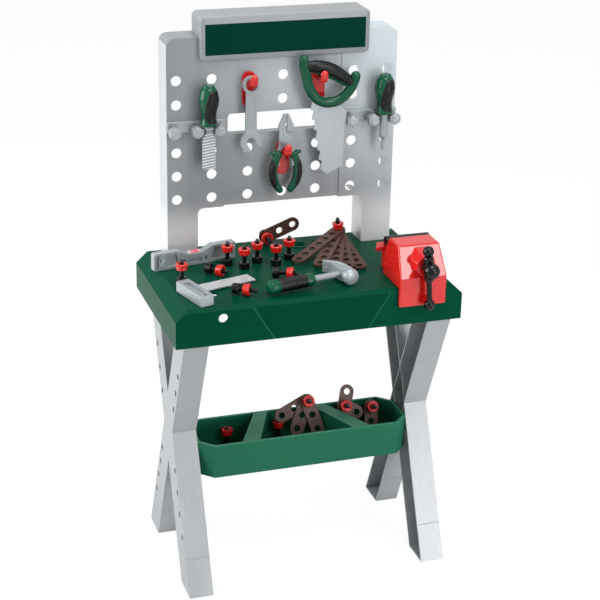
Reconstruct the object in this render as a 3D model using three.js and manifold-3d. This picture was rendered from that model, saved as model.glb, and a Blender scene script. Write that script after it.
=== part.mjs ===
// A child's toy workbench: an X-legged table with a drop-in tray, a perforated tool wall with a
// header, a vise on the front corner, and the toy tools, bolts and perforated strips that go with it.
// Millimetres. x runs to the right, y to the back and z up; the floor is z = 0.
import * as THREE from "three";
import { mergeVertices } from "three/addons/utils/BufferGeometryUtils.js";
import Module from "manifold-3d";

const wasm = await Module();
wasm.setup();

// ---------------------------------------------------------------- driving dimensions
const GAP = 0.3; // between pieces that touch
const WALL = 3; // moulded wall of the silver shells
const degrees = THREE.MathUtils.degToRad;

const table = {
  width: 526,
  depth: 298,
  top: 553,
  apron: 69,
  wall: 4,
  bevelX: 21,
  bevelZ: 20,
  lip: 8,
};
const apronHole = { x: -179, drop: 20, radius: 8.5 };
const topHoles = [
  { x: -180, y: 64, radius: 8.5, ring: 0 },
  { x: 40, y: 256, radius: 12, ring: 21 },
  { x: 76, y: 268, radius: 6, ring: 0 },
];
const ringHeight = 2.5;

const leg = { inner: 202.5, width: 44.5, bar: 61, lean: 0.438, crossY: 128, crossZ: 276, rib: 2 };
const legHoles = { radius: 3.5, inset: 12, pitch: 40, steps: [-4.5, -3.5, -2.6, -1.7, 1.3, 2.3, 3.3] };

const tray = { bottom: 192, height: 64.5, front: 62, depth: 116, wall: 5, floor: 3, corner: 25.5 };
const divider = { back: 42, backWidth: 26, front: 92, frontWidth: 34 };

const wall = { width: 432, top: 962, front: 244, corner: 18, post: 57, opening: 94, fillet: 12 };
const centre = { width: 221.2, recess: 2, raise: 2 };
const slot = { width: 206, bottom: 782, height: 38, corner: 8 };
const peg = { radius: 9, pitchZ: 43.9, firstZ: 666.5, sideX: [133, 197.8], centreX: [-65, 0, 65] };
const pegRows = [0, 1, 2, 4, 5]; // the fourth row is taken by the racks and the slot

const header = { width: 314, bottom: 921, height: 79, front: 230, back: 292, corner: 8 };
const label = { margin: 8, bottom: 10, height: 56, depth: 1.2 };

const rack = { length: 104, thick: 8, height: 20, pinPitch: 41, pinRadius: 5, pinLength: 8 };
const hex = { across: 20, length: 15, boss: 2, bossRadius: 7 };

const hook = {
  width: 25,
  height: 64,
  thick: 4,
  corner: 9,
  arm: 36,
  armWidth: 13,
  armThick: 9,
  lip: 13,
  lipThick: 5,
  seat: -2, // the arm's upper face, from the upper peg hole's centre
};

const rowZ = (row) => peg.firstZ + row * peg.pitchZ;
const tableTop = table.top;
const tableBottom = table.top - table.apron;
const wallBack = table.depth;

// ---------------------------------------------------------------- materials
const finish = (color, roughness = 0.45, metalness = 0) =>
  new THREE.MeshStandardMaterial({ color, roughness, metalness });
const green = finish(0x0b4f36);
const trayGreen = finish(0x1f6b4e);
const silver = finish(0x9a9ea2, 0.4, 0.3);
const legSilver = finish(0xb4babf, 0.4, 0.3);
const toolSilver = finish(0xb9bec2, 0.35, 0.35);
const red = finish(0xe2231a, 0.25);
const black = finish(0x101214, 0.3);
const brown = finish(0x5c4136, 0.6);
const vialTint = finish(0xe86a7a, 0.2);

// ---------------------------------------------------------------- solids
// A closed three.js geometry as a solid that can be joined and cut.
function solid(geometry) {
  const bare = geometry.clone();
  bare.deleteAttribute("normal");
  bare.deleteAttribute("uv");
  const merged = mergeVertices(bare, 1e-4);
  const vertProperties = merged.attributes.position.array;
  const triVerts = new Uint32Array(merged.index.array);
  return new wasm.Manifold(new wasm.Mesh({ numProp: 3, vertProperties, triVerts }));
}

// A solid as a three.js geometry.
function geometryOf(body) {
  const mesh = body.getMesh();
  const geometry = new THREE.BufferGeometry();
  geometry.setAttribute("position", new THREE.BufferAttribute(mesh.vertProperties, 3));
  geometry.setIndex(new THREE.BufferAttribute(mesh.triVerts, 1));
  const flat = geometry.toNonIndexed();
  flat.computeVertexNormals();
  return flat;
}

// The same solid moved, after a turn given in degrees about x, y and z.
function placed(body, [x, y, z], turns = [0, 0, 0]) {
  const geometry = geometryOf(body);
  const [turnX, turnY, turnZ] = turns.map(degrees);
  geometry.rotateX(turnX);
  geometry.rotateY(turnY);
  geometry.rotateZ(turnZ);
  geometry.translate(x, y, z);
  return solid(geometry);
}

const joined = (bodies) => bodies.reduce((whole, body) => whole.add(body));
const cut = (body, tools) => tools.reduce((left, tool) => left.subtract(tool), body);

// A box between two corners.
function box(x0, x1, y0, y1, z0, z1) {
  const geometry = new THREE.BoxGeometry(x1 - x0, y1 - y0, z1 - z0);
  geometry.translate((x0 + x1) / 2, (y0 + y1) / 2, (z0 + z1) / 2);
  return solid(geometry);
}

// A cylinder, prism or cone along an axis, from a start point.
function rod(axis, start, length, radius, sides = 16, endRadius = radius) {
  const geometry = new THREE.CylinderGeometry(endRadius, radius, length, sides);
  geometry.translate(0, length / 2, 0);
  if (axis === "x") geometry.rotateZ(-Math.PI / 2);
  if (axis === "z") geometry.rotateX(Math.PI / 2);
  geometry.translate(...start);
  return solid(geometry);
}

function ball(centrePoint, radius, across = 16, down = 10) {
  const geometry = new THREE.SphereGeometry(radius, across, down);
  geometry.rotateX(Math.PI / 2);
  geometry.translate(...centrePoint);
  return solid(geometry);
}

// A body turned about +Z from a profile of [radius, height] points that starts and ends on the axis.
function turned(profile, sides = 20) {
  const points = profile.map(([r, z]) => new THREE.Vector2(r, z));
  const geometry = new THREE.LatheGeometry(points, sides);
  geometry.rotateX(Math.PI / 2);
  return solid(geometry);
}

// A closed shape from corner points, each [across, up] or [across, up, rounding radius].
function outline(corners) {
  const shape = new THREE.Shape();
  corners.forEach(([a, b, radius = 0], i) => {
    const here = new THREE.Vector2(a, b);
    const before = new THREE.Vector2(...corners[(i + corners.length - 1) % corners.length].slice(0, 2));
    const after = new THREE.Vector2(...corners[(i + 1) % corners.length].slice(0, 2));
    const inward = before.sub(here).normalize();
    const outward = after.sub(here).normalize();
    const half = Math.acos(inward.dot(outward)) / 2;
    const reach = radius / Math.tan(half);
    const start = here.clone().addScaledVector(inward, reach);
    const end = here.clone().addScaledVector(outward, reach);
    if (i === 0) shape.moveTo(start.x, start.y);
    else shape.lineTo(start.x, start.y);
    if (radius > 0) shape.quadraticCurveTo(here.x, here.y, end.x, end.y);
  });
  shape.closePath();
  return shape;
}

const rectangle = (x0, x1, y0, y1, radius = 0) =>
  outline([
    [x0, y0, radius],
    [x1, y0, radius],
    [x1, y1, radius],
    [x0, y1, radius],
  ]);

function extruded(shape, depth, curveSegments = 4) {
  return new THREE.ExtrudeGeometry(shape, { depth, curveSegments, bevelEnabled: false });
}

// A shape drawn in x and z, extruded to the back from y.
function standing(shape, y, depth, curveSegments) {
  const geometry = extruded(shape, depth, curveSegments);
  geometry.rotateX(Math.PI / 2);
  geometry.translate(0, y + depth, 0);
  return solid(geometry);
}

// A shape drawn in x and y, extruded upwards from z.
function lying(shape, z, depth, curveSegments) {
  const geometry = extruded(shape, depth, curveSegments);
  geometry.translate(0, 0, z);
  return solid(geometry);
}

// A shape drawn in y and z, extruded to the right from x.
function sideways(shape, x, depth, curveSegments) {
  const geometry = extruded(shape, depth, curveSegments);
  geometry.applyMatrix4(new THREE.Matrix4().set(0, 0, 1, 0, 1, 0, 0, 0, 0, 1, 0, 0, 0, 0, 0, 1));
  geometry.translate(x, 0, 0);
  return solid(geometry);
}

// ---------------------------------------------------------------- the scene graph
const workbench = new THREE.Group();

function add(name, body, material, parent = workbench) {
  const mesh = new THREE.Mesh(geometryOf(body), material);
  mesh.name = name;
  parent.add(mesh);
  return mesh;
}

function group(x, y, z, turn = 0) {
  const inner = new THREE.Group();
  inner.position.set(x, y, z);
  inner.rotation.z = degrees(turn);
  workbench.add(inner);
  return inner;
}

// ---------------------------------------------------------------- the tabletop
// The table's end view: a box with bevelled long edges, inset by a distance.
function tableProfile(inset, bottom) {
  const half = table.width / 2 - inset;
  const top = tableTop - inset;
  const slope = table.bevelX / table.bevelZ;
  const lost = inset * (Math.hypot(1, slope) - 1) * 0.5;
  const bevelX = table.bevelX - lost;
  const bevelZ = table.bevelZ - lost;
  return outline([
    [-half, bottom],
    [half, bottom],
    [half, top - bevelZ],
    [half - bevelX, top],
    [bevelX - half, top],
    [-half, top - bevelZ],
  ]);
}

function tabletop() {
  const outer = standing(tableProfile(0, tableBottom), 0, table.depth);
  const inner = standing(tableProfile(table.wall, tableBottom - 1), table.wall, table.depth - 2 * table.wall);
  const lip = table.lip;
  const frontBevel = sideways(
    outline([
      [-1, tableTop + 1],
      [-1, tableTop - lip * 0.8],
      [lip + 1, tableTop + 1],
    ]),
    -table.width,
    2 * table.width,
  );
  const rings = topHoles
    .filter((hole) => hole.ring > 0)
    .map((hole) => rod("z", [hole.x, hole.y, tableTop - 1], ringHeight + 1, hole.ring, 20, hole.ring - 3));
  const holes = topHoles.map((hole) =>
    rod("z", [hole.x, hole.y, tableTop - 2 * table.wall], 4 * table.wall, hole.radius, 14),
  );
  const front = rod("y", [apronHole.x, -1, tableTop - apronHole.drop], table.wall + 2, apronHole.radius, 14);
  return cut(joined([outer.subtract(inner), ...rings]), [frontBevel, front, ...holes]);
}
add("tabletop", tabletop(), green);

// ---------------------------------------------------------------- the X legs
// The middle of a slanted bar at a height. way is 1 for the bar that rises to the back and -1 for
// the one that rises to the front.
const barMiddle = (way, z) => leg.crossY + way * leg.lean * (z - leg.crossZ);

// A slanted bar of the X in y and z, with half its width to each side of its middle line.
function legBar(way, half, bottom, top, aside = 0) {
  const at = (z) => barMiddle(way, z) + aside;
  return outline([
    [at(bottom) - half, bottom],
    [at(bottom) + half, bottom],
    [at(top) + half, top],
    [at(top) - half, top],
  ]);
}

// What fits under the tabletop: everything below the apron, and inside its walls above that.
function underTable() {
  const clear = table.wall + GAP;
  const inside = standing(tableProfile(clear, tableBottom - 1), clear, table.depth - 2 * clear);
  return inside.add(box(-table.width, table.width, -table.depth, 2 * table.depth, -1, tableBottom));
}

function legFrame(side) {
  const half = leg.bar / 2;
  const x0 = side > 0 ? leg.inner : -leg.inner - leg.width;
  const cavityX = side > 0 ? x0 - 1 : x0 + WALL;
  const thin = WALL * Math.hypot(1, leg.lean);
  const pair = (width, bottom, x, depth) =>
    joined([-1, 1].map((way) => sideways(legBar(way, width, bottom, tableTop), x, depth)));
  const hollow = pair(half - thin, WALL, cavityX, leg.width - WALL + 1);
  const shell = pair(half, 0, x0, leg.width).subtract(hollow);
  // Each bar's walls carry on across the other bar.
  const reach = half / leg.lean;
  const ribs = [-1, 1].flatMap((way) =>
    [-1, 1].map((edge) => {
      const aside = edge * (half - WALL / 2);
      const shape = legBar(way, leg.rib / 2, leg.crossZ - reach, leg.crossZ + reach, aside);
      return sideways(shape, x0 + 1, leg.width - 2);
    }),
  );
  const outerX = side > 0 ? x0 + leg.width - WALL - 1 : x0 - 1;
  const holes = [-1, 1].flatMap((way) =>
    legHoles.steps.map((step) => {
      const z = leg.crossZ + step * legHoles.pitch;
      const edge = way * Math.sign(step) * (half - legHoles.inset);
      return rod("x", [outerX, barMiddle(way, z) + edge, z], WALL + 2, legHoles.radius, 6);
    }),
  );
  const whole = joined([shell, ...ribs]).intersect(pair(half, 0, x0, leg.width));
  return cut(whole, holes).intersect(underTable());
}
add("leg_frame_left", legFrame(-1), legSilver);
add("leg_frame_right", legFrame(1), legSilver);

// ---------------------------------------------------------------- the tray between the legs
function trayBody() {
  const half = leg.inner - GAP;
  const plan = (inset) => {
    const x = half - inset;
    const y0 = tray.front + inset;
    const y1 = tray.front + tray.depth - inset;
    const lost = inset * (2 - Math.SQRT2);
    const corner = tray.corner - lost;
    return outline([
      [corner - x, y0],
      [x - corner, y0],
      [x, y0 + corner],
      [x, y1 - corner],
      [x - corner, y1],
      [corner - x, y1],
      [-x, y1 - corner],
      [-x, y0 + corner],
    ]);
  };
  const outer = lying(plan(0), tray.bottom, tray.height);
  const pocket = lying(plan(tray.wall), tray.bottom + tray.floor, tray.height);
  const y0 = tray.front - 1;
  const y1 = tray.front + tray.depth + 1;
  const dividers = [-1, 1].map((side) =>
    lying(
      outline([
        [side * divider.front, y0],
        [side * (divider.front + divider.frontWidth), y0],
        [side * (divider.back + divider.backWidth), y1],
        [side * divider.back, y1],
      ]),
      tray.bottom,
      tray.height,
    ).intersect(outer),
  );
  return joined([outer.subtract(pocket), ...dividers]);
}
add("tray", trayBody(), trayGreen);

// ---------------------------------------------------------------- the tool wall
const shellDepth = wallBack - wall.front;
const floorOfWall = tableTop + GAP;
const lintel = tableTop + wall.opening;

function uprightShape(side, inset) {
  const outer = wall.width / 2 - inset;
  const seam = centre.width / 2 + inset;
  const post = wall.width / 2 - wall.post + inset;
  const x = (value) => side * value;
  return outline([
    [x(post), floorOfWall + inset],
    [x(outer), floorOfWall + inset],
    [x(outer), wall.top - inset, wall.corner - inset],
    [x(seam), wall.top - inset],
    [x(seam), lintel + inset],
    [x(post), lintel + inset, wall.fillet],
  ]);
}

function upright(side) {
  const outer = standing(uprightShape(side, 0), wall.front, shellDepth, 6);
  const inner = standing(uprightShape(side, WALL), wall.front + WALL, shellDepth, 6);
  const holes = pegRows.flatMap((row) =>
    peg.sideX.map((x) => rod("y", [side * x, wall.front - 1, rowZ(row)], WALL + 2, peg.radius, 10)),
  );
  return cut(outer.subtract(inner), holes);
}
add("upright_left", upright(-1), silver);
add("upright_right", upright(1), silver);

function centrePanel() {
  const half = centre.width / 2 - GAP;
  const front = wall.front + centre.recess;
  const bottom = lintel + centre.raise;
  const slotShape = (grow) =>
    rectangle(
      -slot.width / 2 - grow,
      slot.width / 2 + grow,
      slot.bottom - grow,
      slot.bottom + slot.height + grow,
      slot.corner + grow,
    );
  const outer = standing(rectangle(-half, half, bottom, wall.top), front, wallBack - front);
  const hollow = standing(
    rectangle(WALL - half, half - WALL, bottom + WALL, wall.top - WALL),
    front + WALL,
    wallBack - front,
  ).subtract(standing(slotShape(WALL), front, wallBack));
  const holes = pegRows.flatMap((row) =>
    peg.centreX.map((x) => rod("y", [x, front - 1, rowZ(row)], WALL + 2, peg.radius, 10)),
  );
  const window = standing(slotShape(0), front - 1, wallBack);
  return cut(outer.subtract(hollow), [window, ...holes]);
}
add("centre_panel", centrePanel(), silver);

// ---------------------------------------------------------------- the header
function headerHousing() {
  const half = header.width / 2;
  const top = header.bottom + header.height;
  const block = standing(
    rectangle(-half, half, header.bottom, top, header.corner),
    header.front,
    header.back - header.front,
  );
  const seat = box(-half - 1, half + 1, wall.front - GAP, header.back + 1, header.bottom - 1, wall.top + GAP);
  const hollow = box(
    WALL - half,
    half - WALL,
    header.front + label.depth + WALL,
    header.back + 1,
    wall.top + GAP + WALL,
    top - WALL,
  );
  const plate = box(
    label.margin - half,
    half - label.margin,
    header.front - 1,
    header.front + label.depth,
    header.bottom + label.bottom,
    header.bottom + label.bottom + label.height,
  );
  return cut(block, [seat, hollow, plate]);
}
add("header_housing", headerHousing(), silver);

// ---------------------------------------------------------------- the racks
const rackZ = rowZ(3);
const rackMiddle = (wall.width / 2 + centre.width / 2) / 2;
const pinMiddle = (peg.sideX[0] + peg.sideX[1]) / 2;
const rackPinX = (side, i) => side * (pinMiddle + i * rack.pinPitch);
const rackFront = wall.front - GAP - rack.thick;
const hexFront = rackFront - rack.pinLength - hex.length;

function toolRack(side) {
  const middle = side * rackMiddle;
  const plate = standing(
    rectangle(middle - rack.length / 2, middle + rack.length / 2, rackZ - 4, rackZ - 4 + rack.height, 2),
    rackFront,
    rack.thick,
  );
  const pins = [-1, 0, 1].flatMap((i) => {
    const x = rackPinX(side, i);
    const corner = hex.across / 2 / Math.cos(Math.PI / 6);
    return [
      rod("y", [x, hexFront + hex.length - 1, rackZ], rack.pinLength + 2, rack.pinRadius, 6),
      rod("y", [x, hexFront, rackZ], hex.length, corner, 6),
      rod("y", [x, hexFront - hex.boss, rackZ], hex.boss + 1, hex.bossRadius, 8),
    ];
  });
  return joined([plate, ...pins]);
}
add("rack_left", toolRack(-1), silver);
add("rack_right", toolRack(1), silver);

// ---------------------------------------------------------------- the red hooks
// Each hook plugs into two peg holes and carries a tool on an arm with an upturned tip.
function hookBody(recess) {
  const back = wall.front + recess - GAP;
  const face = back - hook.thick;
  const middle = -peg.pitchZ / 2;
  const halfHeight = hook.height / 2;
  const plate = standing(
    rectangle(-hook.width / 2, hook.width / 2, middle - halfHeight, middle + halfHeight, hook.corner),
    face,
    hook.thick,
    3,
  );
  const tip = face - hook.arm;
  const side = outline([
    [face + 1, hook.seat],
    [tip + hook.lipThick, hook.seat, 2],
    [tip + hook.lipThick, hook.seat + hook.lip, 2],
    [tip, hook.seat + hook.lip, 2],
    [tip, hook.seat - hook.armThick, 6],
    [face + 1, hook.seat - hook.armThick],
  ]);
  const arm = sideways(side, -hook.armWidth / 2, hook.armWidth, 3);
  const plugs = [0, -peg.pitchZ].map((z) => rod("y", [0, back - 1, z], WALL + 5, peg.radius - 0.5, 8));
  return joined([plate, arm, ...plugs]);
}
const hooks = {
  wrench: { x: peg.centreX[0], z: rowZ(5) },
  saw: { x: peg.centreX[2], z: rowZ(5) },
  pliers: { x: peg.centreX[1], z: rowZ(2) },
};
for (const [name, at] of Object.entries(hooks))
  add("hook_" + name, hookBody(centre.recess), red, group(at.x, 0, at.z));
const hookFace = wall.front + centre.recess - GAP - hook.thick;

// ---------------------------------------------------------------- the wrench
const wrench = { y: hookFace - 14, thick: 5, ring: 16.3, bore: 11, shaft: 22, length: 105 };
const spanner = { jaw: 20, mouth: 17, turn: -28 };
const wrenchPanel = { margin: 5, low: 28, high: 26, deep: 0.8 };

function wrenchBody() {
  const plateY = -wrench.thick / 2;
  const disc = (z, radius, depth) => rod("y", [0, -depth / 2, z], depth, radius, 16);
  const ring = disc(0, wrench.ring, wrench.thick + 3);
  const jaw = disc(-wrench.length, spanner.jaw, wrench.thick + 2);
  const half = wrench.shaft / 2;
  const shaft = standing(
    outline([
      [-half, -wrench.length],
      [half, -wrench.length],
      [half - 1, -4],
      [1 - half, -4],
    ]),
    plateY,
    wrench.thick,
  );
  // The jaw's mouth opens down and to the left.
  const mouth = new THREE.BoxGeometry(spanner.mouth, 3 * wrench.thick, 2 * spanner.jaw);
  mouth.translate(0, 0, -spanner.jaw);
  const root = new THREE.CylinderGeometry(spanner.mouth / 2, spanner.mouth / 2, 3 * wrench.thick, 14);
  const turn = degrees(spanner.turn);
  const at = (geometry) => solid(geometry.rotateY(turn).translate(0, 0, -wrench.length));
  const inner = half - wrenchPanel.margin;
  const panel = rectangle(-inner, inner, wrenchPanel.low - wrench.length, -wrenchPanel.high, 4);
  const recesses = [plateY - 1, -plateY - wrenchPanel.deep].map((y) =>
    standing(panel, y, 1 + wrenchPanel.deep, 2),
  );
  const bore = disc(0, wrench.bore, 3 * wrench.thick);
  return cut(joined([ring, shaft, jaw]), [bore, at(mouth), at(root), ...recesses]);
}
// The ring rests on the two edges of the hook's arm.
const ringSag = Math.sqrt(wrench.bore ** 2 - (hook.armWidth / 2) ** 2);
const wrenchHang = group(hooks.wrench.x, wrench.y, hooks.wrench.z + hook.seat + GAP * 2 - ringSag);
add("wrench", wrenchBody(), toolSilver, wrenchHang);

// ---------------------------------------------------------------- the pliers
const pliers = { y: hookFace - 17, layer: 4, rivet: 4, jaw: 45, seat: 21.5, end: 104, grip: 7.5, tang: 20 };
const pliersMiddle = GAP / 2;

// One half, drawn with its jaw on the left and its handle on the right; side -1 mirrors it.
function pliersOutline(side, points) {
  const placed = points.map(([x, z, radius]) => [side * x, z, radius]);
  return outline(side > 0 ? placed : placed.reverse());
}

function pliersHalf(side) {
  const layerY = side > 0 ? -pliers.layer : GAP;
  const lever = pliersOutline(side, [
    [-GAP / 2, 14],
    [-16, 14],
    [-14, -3, 4],
    [-5, -12, 4],
    [hook.armWidth / 2 + 0.7, -pliers.seat, 0.5],
    [11, -32],
    [11, -32 - pliers.tang],
    [19, -32 - pliers.tang],
    [20, -32],
    [13, -14, 4],
    [12, 4, 4],
    [-GAP / 2, 12],
  ]);
  const jaw = pliersOutline(side, [
    [-GAP / 2, 13],
    [-GAP / 2, pliers.jaw],
    [-5, pliers.jaw, 1],
    [-17, pliers.jaw / 2, 4],
    [-16, 13],
  ]);
  const thickness = 2 * pliers.layer + GAP;
  return joined([
    standing(lever, layerY, pliers.layer, 3),
    standing(jaw, -pliers.layer, thickness, 3),
  ]);
}

function gripBody(side) {
  const path = new THREE.CatmullRomCurve3(
    [
      [14.5, -26],
      [20, -44],
      [23, -66],
      [18, -88],
      [10.5, -pliers.end + pliers.grip],
    ].map(([x, z]) => new THREE.Vector3(side * x, pliersMiddle, z)),
  );
  const section = new THREE.Shape();
  section.absellipse(0, 0, pliers.grip, pliers.grip, 0, Math.PI * 2);
  const settings = { steps: 7, curveSegments: 4, extrudePath: path, bevelEnabled: false };
  const sleeve = solid(new THREE.ExtrudeGeometry(section, settings));
  return sleeve.add(ball(path.getPoint(1).toArray(), pliers.grip, 10, 6));
}

const rivetBore = rod("y", [0, -4 * pliers.layer, 0], 8 * pliers.layer, pliers.rivet + GAP, 12);
const rivet = rod("y", [0, -pliers.layer - 1.5, 0], 2 * pliers.layer + 3, pliers.rivet, 12);
const rivetHead = rod("y", [0, -pliers.layer - 2, 0], 2.5, pliers.rivet + 3, 12);
const pliersHang = group(hooks.pliers.x, pliers.y, hooks.pliers.z + hook.seat + pliers.seat + GAP);
for (const side of [1, -1]) {
  const where = side > 0 ? "front" : "back";
  const plain = pliersHalf(side);
  const half = side > 0 ? joined([plain, rivet, rivetHead]) : plain.subtract(rivetBore);
  add("pliers_half_" + where, half, toolSilver, pliersHang);
  // The grip is moulded over the lever, with a running gap round it.
  const slack = [-GAP, GAP].flatMap((d) =>
    [
      [d, 0, 0],
      [0, d, 0],
      [0, 0, d],
    ].map((by) => placed(plain, by)),
  );
  add("pliers_grip_" + where, cut(gripBody(side), slack), green, pliersHang);
}

// ---------------------------------------------------------------- the saw
const saw = { y: hookFace - 20.5, thick: 14, gripThick: 18, blade: 3, teeth: 7, bite: 6 };
// Corners of the D-shaped handle, its opening and its blade, from the hook's seat.
const sawHandle = [
  [-38, 42, 6],
  [-23, 31, 8],
  [56, -2, 8],
  [66, 5, 5],
  [73, -9, 12],
  [19, -56, 32],
  [-15, -36, 38],
  [-44, 34, 6],
];
const sawOpening = [
  [-18, 7.4, 6],
  [47, -11.4, 8],
  [9, -38, 16],
];
const sawGripSpan = [-12, 38];
const bladeTop = [
  [-14, -31],
  [16, -42],
  [26, -46],
  [48, -66],
];
const bladeTip = [
  [42.5, -170],
  [13.5, -183],
  [0, -173],
];
const lastTooth = [-24.4, -40];

function sawBlade() {
  const from = new THREE.Vector2(...bladeTip.at(-1));
  const to = new THREE.Vector2(...lastTooth);
  const along = to.clone().sub(from);
  const inward = new THREE.Vector2(along.y, -along.x).normalize().multiplyScalar(saw.bite);
  const edge = [];
  for (let i = 0; i < saw.teeth; i++) {
    const tip = from.clone().addScaledVector(along, i / saw.teeth);
    const root = from.clone().addScaledVector(along, (i + 0.75) / saw.teeth).add(inward);
    edge.push([tip.x, tip.y], [root.x, root.y]);
  }
  const corners = [...bladeTop, ...bladeTip.slice(0, -1), ...edge, lastTooth];
  return standing(outline(corners), -saw.blade / 2, saw.blade);
}

// The part of the handle's upper bar that the soft grip takes.
function sawGripZone(grow) {
  const [x0, x1] = [sawGripSpan[0] - grow, sawGripSpan[1] + grow];
  const [a, b] = sawOpening;
  const under = (x) => a[1] + ((x - a[0]) * (b[1] - a[1])) / (b[0] - a[0]) - 4;
  const zone = outline([
    [x0, under(x0)],
    [x1, under(x1)],
    [x1, 60],
    [x0, 60],
  ]);
  return standing(zone, -saw.thick, 2 * saw.thick);
}

function sawParts() {
  const blade = sawBlade();
  const frame = standing(outline(sawHandle), -saw.thick / 2, saw.thick);
  const opening = standing(outline(sawOpening), -saw.thick, 2 * saw.thick);
  const fat = standing(outline(sawHandle), -saw.gripThick / 2, saw.gripThick);
  const roomy = [-GAP, GAP].flatMap((d) =>
    [
      [0, d, 0],
      [0, d, GAP],
      [d, d, 0],
    ].map((by) => placed(blade, by)),
  );
  const handle = cut(frame, [opening, sawGripZone(GAP), ...roomy]);
  const grip = fat.subtract(opening).intersect(sawGripZone(0));
  return { blade, handle, grip };
}
const sawHang = group(hooks.saw.x, saw.y, hooks.saw.z + hook.seat + GAP);
const sawBodies = sawParts();
add("saw_blade", sawBodies.blade, toolSilver, sawHang);
add("saw_handle", sawBodies.handle, green, sawHang);
add("saw_grip", sawBodies.grip, black, sawHang);

// ---------------------------------------------------------------- screwdriver and file in the racks
const stub = { y: hexFront + hex.length / 2, height: 74, tang: 24, tangRadius: 4 };
const stubProfile = [
  [0, 0],
  [13, 0],
  [15.5, 2],
  [12.5, 14],
  [14, 26],
  [17.5, 40],
  [18, 50],
  [15.5, 64],
  [11, 70],
  [9, stub.height],
  [0, stub.height],
];
const rackSeat = rackZ + hex.across / 2 + GAP;
const shaft = { sleeve: 7.5, sleeveLength: 46, tip: 3.5, length: 69 };
const blade = { width: 24, thick: 4, length: 80, neck: 9, neckLength: 12, shoulder: 24 };

const stubBore = rod("z", [0, 0, -1], stub.tang + 2, stub.tangRadius + GAP, 10);
const stubHandle = turned(stubProfile, 13).subtract(stubBore);
const stubTang = rod("z", [0, 0, -1], stub.tang, stub.tangRadius, 10);

const screwdriverHang = group(rackPinX(1, 0.5), stub.y, rackSeat);
const fileHang = group(rackPinX(-1, -0.5), stub.y, rackSeat);
add("screwdriver_handle", stubHandle, green, screwdriverHang);
add("file_handle", stubHandle, green, fileHang);

const shaftProfile = [
  [0, -shaft.length],
  [shaft.tip * 0.8, -shaft.length],
  [shaft.tip, 6 - shaft.length],
  [shaft.tip, -shaft.sleeveLength - 3],
  [shaft.sleeve - 2, -shaft.sleeveLength],
  [shaft.sleeve, 4 - shaft.sleeveLength],
  [shaft.sleeve, -GAP],
  [0, -GAP],
];
const screwdriverShaft = turned(shaftProfile, 12);
add("screwdriver_shaft", screwdriverShaft.add(stubTang), toolSilver, screwdriverHang);

const fileOutline = outline([
  [blade.neck / 2, -GAP],
  [blade.neck / 2, -blade.neckLength],
  [blade.width / 2, -blade.shoulder],
  [blade.width / 2, -blade.length],
  [-blade.width / 2, -blade.length],
  [-blade.width / 2, -blade.shoulder],
  [-blade.neck / 2, -blade.neckLength],
  [-blade.neck / 2, -GAP],
]);
const ferruleProfile = [
  [0, -11],
  [5, -11],
  [9.5, -4],
  [9.5, -GAP],
  [0, -GAP],
];
const fileFerrule = turned(ferruleProfile, 12);
const fileBlade = joined([standing(fileOutline, -blade.thick / 2, blade.thick), fileFerrule, stubTang]);
add("file_blade", fileBlade, toolSilver, fileHang);

// ---------------------------------------------------------------- the vise
const vise = {
  x: 184,
  width: 88,
  topWidth: 78,
  skirt: 33,
  overhang: 8,
  bend: 20.5,
  slope: 22,
  ridge: 66,
  back: 78,
  shoulder: 47,
  height: 72,
};
const viseBase = tableTop + GAP;
const boss = { front: 12, tip: 18, root: 28, depth: 34 };
const screw = { x: 185.5, axis: 43, radius: 6, tail: 124, knob: 14.5, knobY: -38, collar: 10 };
const tommy = { y: -24, tilt: -4.2, radius: 4.9, ball: 10, length: 101, rest: 32, cheek: 9, cheekHeight: 23 };
const rearJaw = { width: 68, front: 86, back: 112, flange: 8, top: 48, flare: 12 };
const jawPad = { x: 188.5, width: 83, front: 80, back: 98, height: 17.5, round: 7 };
const screwZ = tableTop + screw.axis;

function viseHousing() {
  const top = viseBase + vise.height;
  const bend = viseBase + vise.bend;
  const side = outline([
    [-GAP, tableTop - vise.skirt],
    [-GAP, viseBase],
    [vise.back, viseBase],
    [vise.back, viseBase + vise.shoulder, 3],
    [vise.ridge, top, 3],
    [vise.slope, top, 3],
    [-vise.overhang, bend, 2],
    [-vise.overhang, tableTop - vise.skirt],
  ]);
  const half = vise.width / 2;
  const halfTop = vise.topWidth / 2;
  const front = outline([
    [vise.x - half, tableTop - vise.skirt, 4],
    [vise.x + half, tableTop - vise.skirt, 4],
    [vise.x + half, bend],
    [vise.x + halfTop, top, 2],
    [vise.x - halfTop, top, 2],
    [vise.x - half, bend],
  ]);
  const body = sideways(side, vise.x - half - 1, vise.width + 2);
  const envelope = standing(front, -table.depth, 2 * table.depth);
  // An octagonal nose with flats above and below.
  const nose = new THREE.CylinderGeometry(boss.root, boss.tip, boss.depth, 8);
  nose.rotateY(Math.PI / 8);
  nose.translate(screw.x, boss.depth / 2 - boss.front, screwZ);
  const bore = rod("y", [screw.x, -table.depth, screwZ], 2 * table.depth, screw.radius + GAP, 12);
  return joined([body.intersect(envelope), solid(nose)]).subtract(bore);
}
add("vise_housing", viseHousing(), red);

const jawBore = rod("y", [screw.x, 0, screwZ], table.depth, screw.radius + GAP, 12);

function viseRearJaw() {
  const half = rearJaw.width / 2;
  const wing = vise.width / 2;
  const top = viseBase + rearJaw.top;
  const body = box(vise.x - half, vise.x + half, rearJaw.front, rearJaw.back, viseBase, top - 1);
  const plan = outline([
    [vise.x - wing, rearJaw.front],
    [vise.x + wing, rearJaw.front],
    [vise.x + wing + rearJaw.flare, rearJaw.back],
    [vise.x - wing - rearJaw.flare, rearJaw.back],
  ]);
  const flange = lying(plan, top - rearJaw.flange, rearJaw.flange);
  return joined([body, flange]).subtract(jawBore);
}
add("vise_rear_jaw", viseRearJaw(), red);

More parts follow.
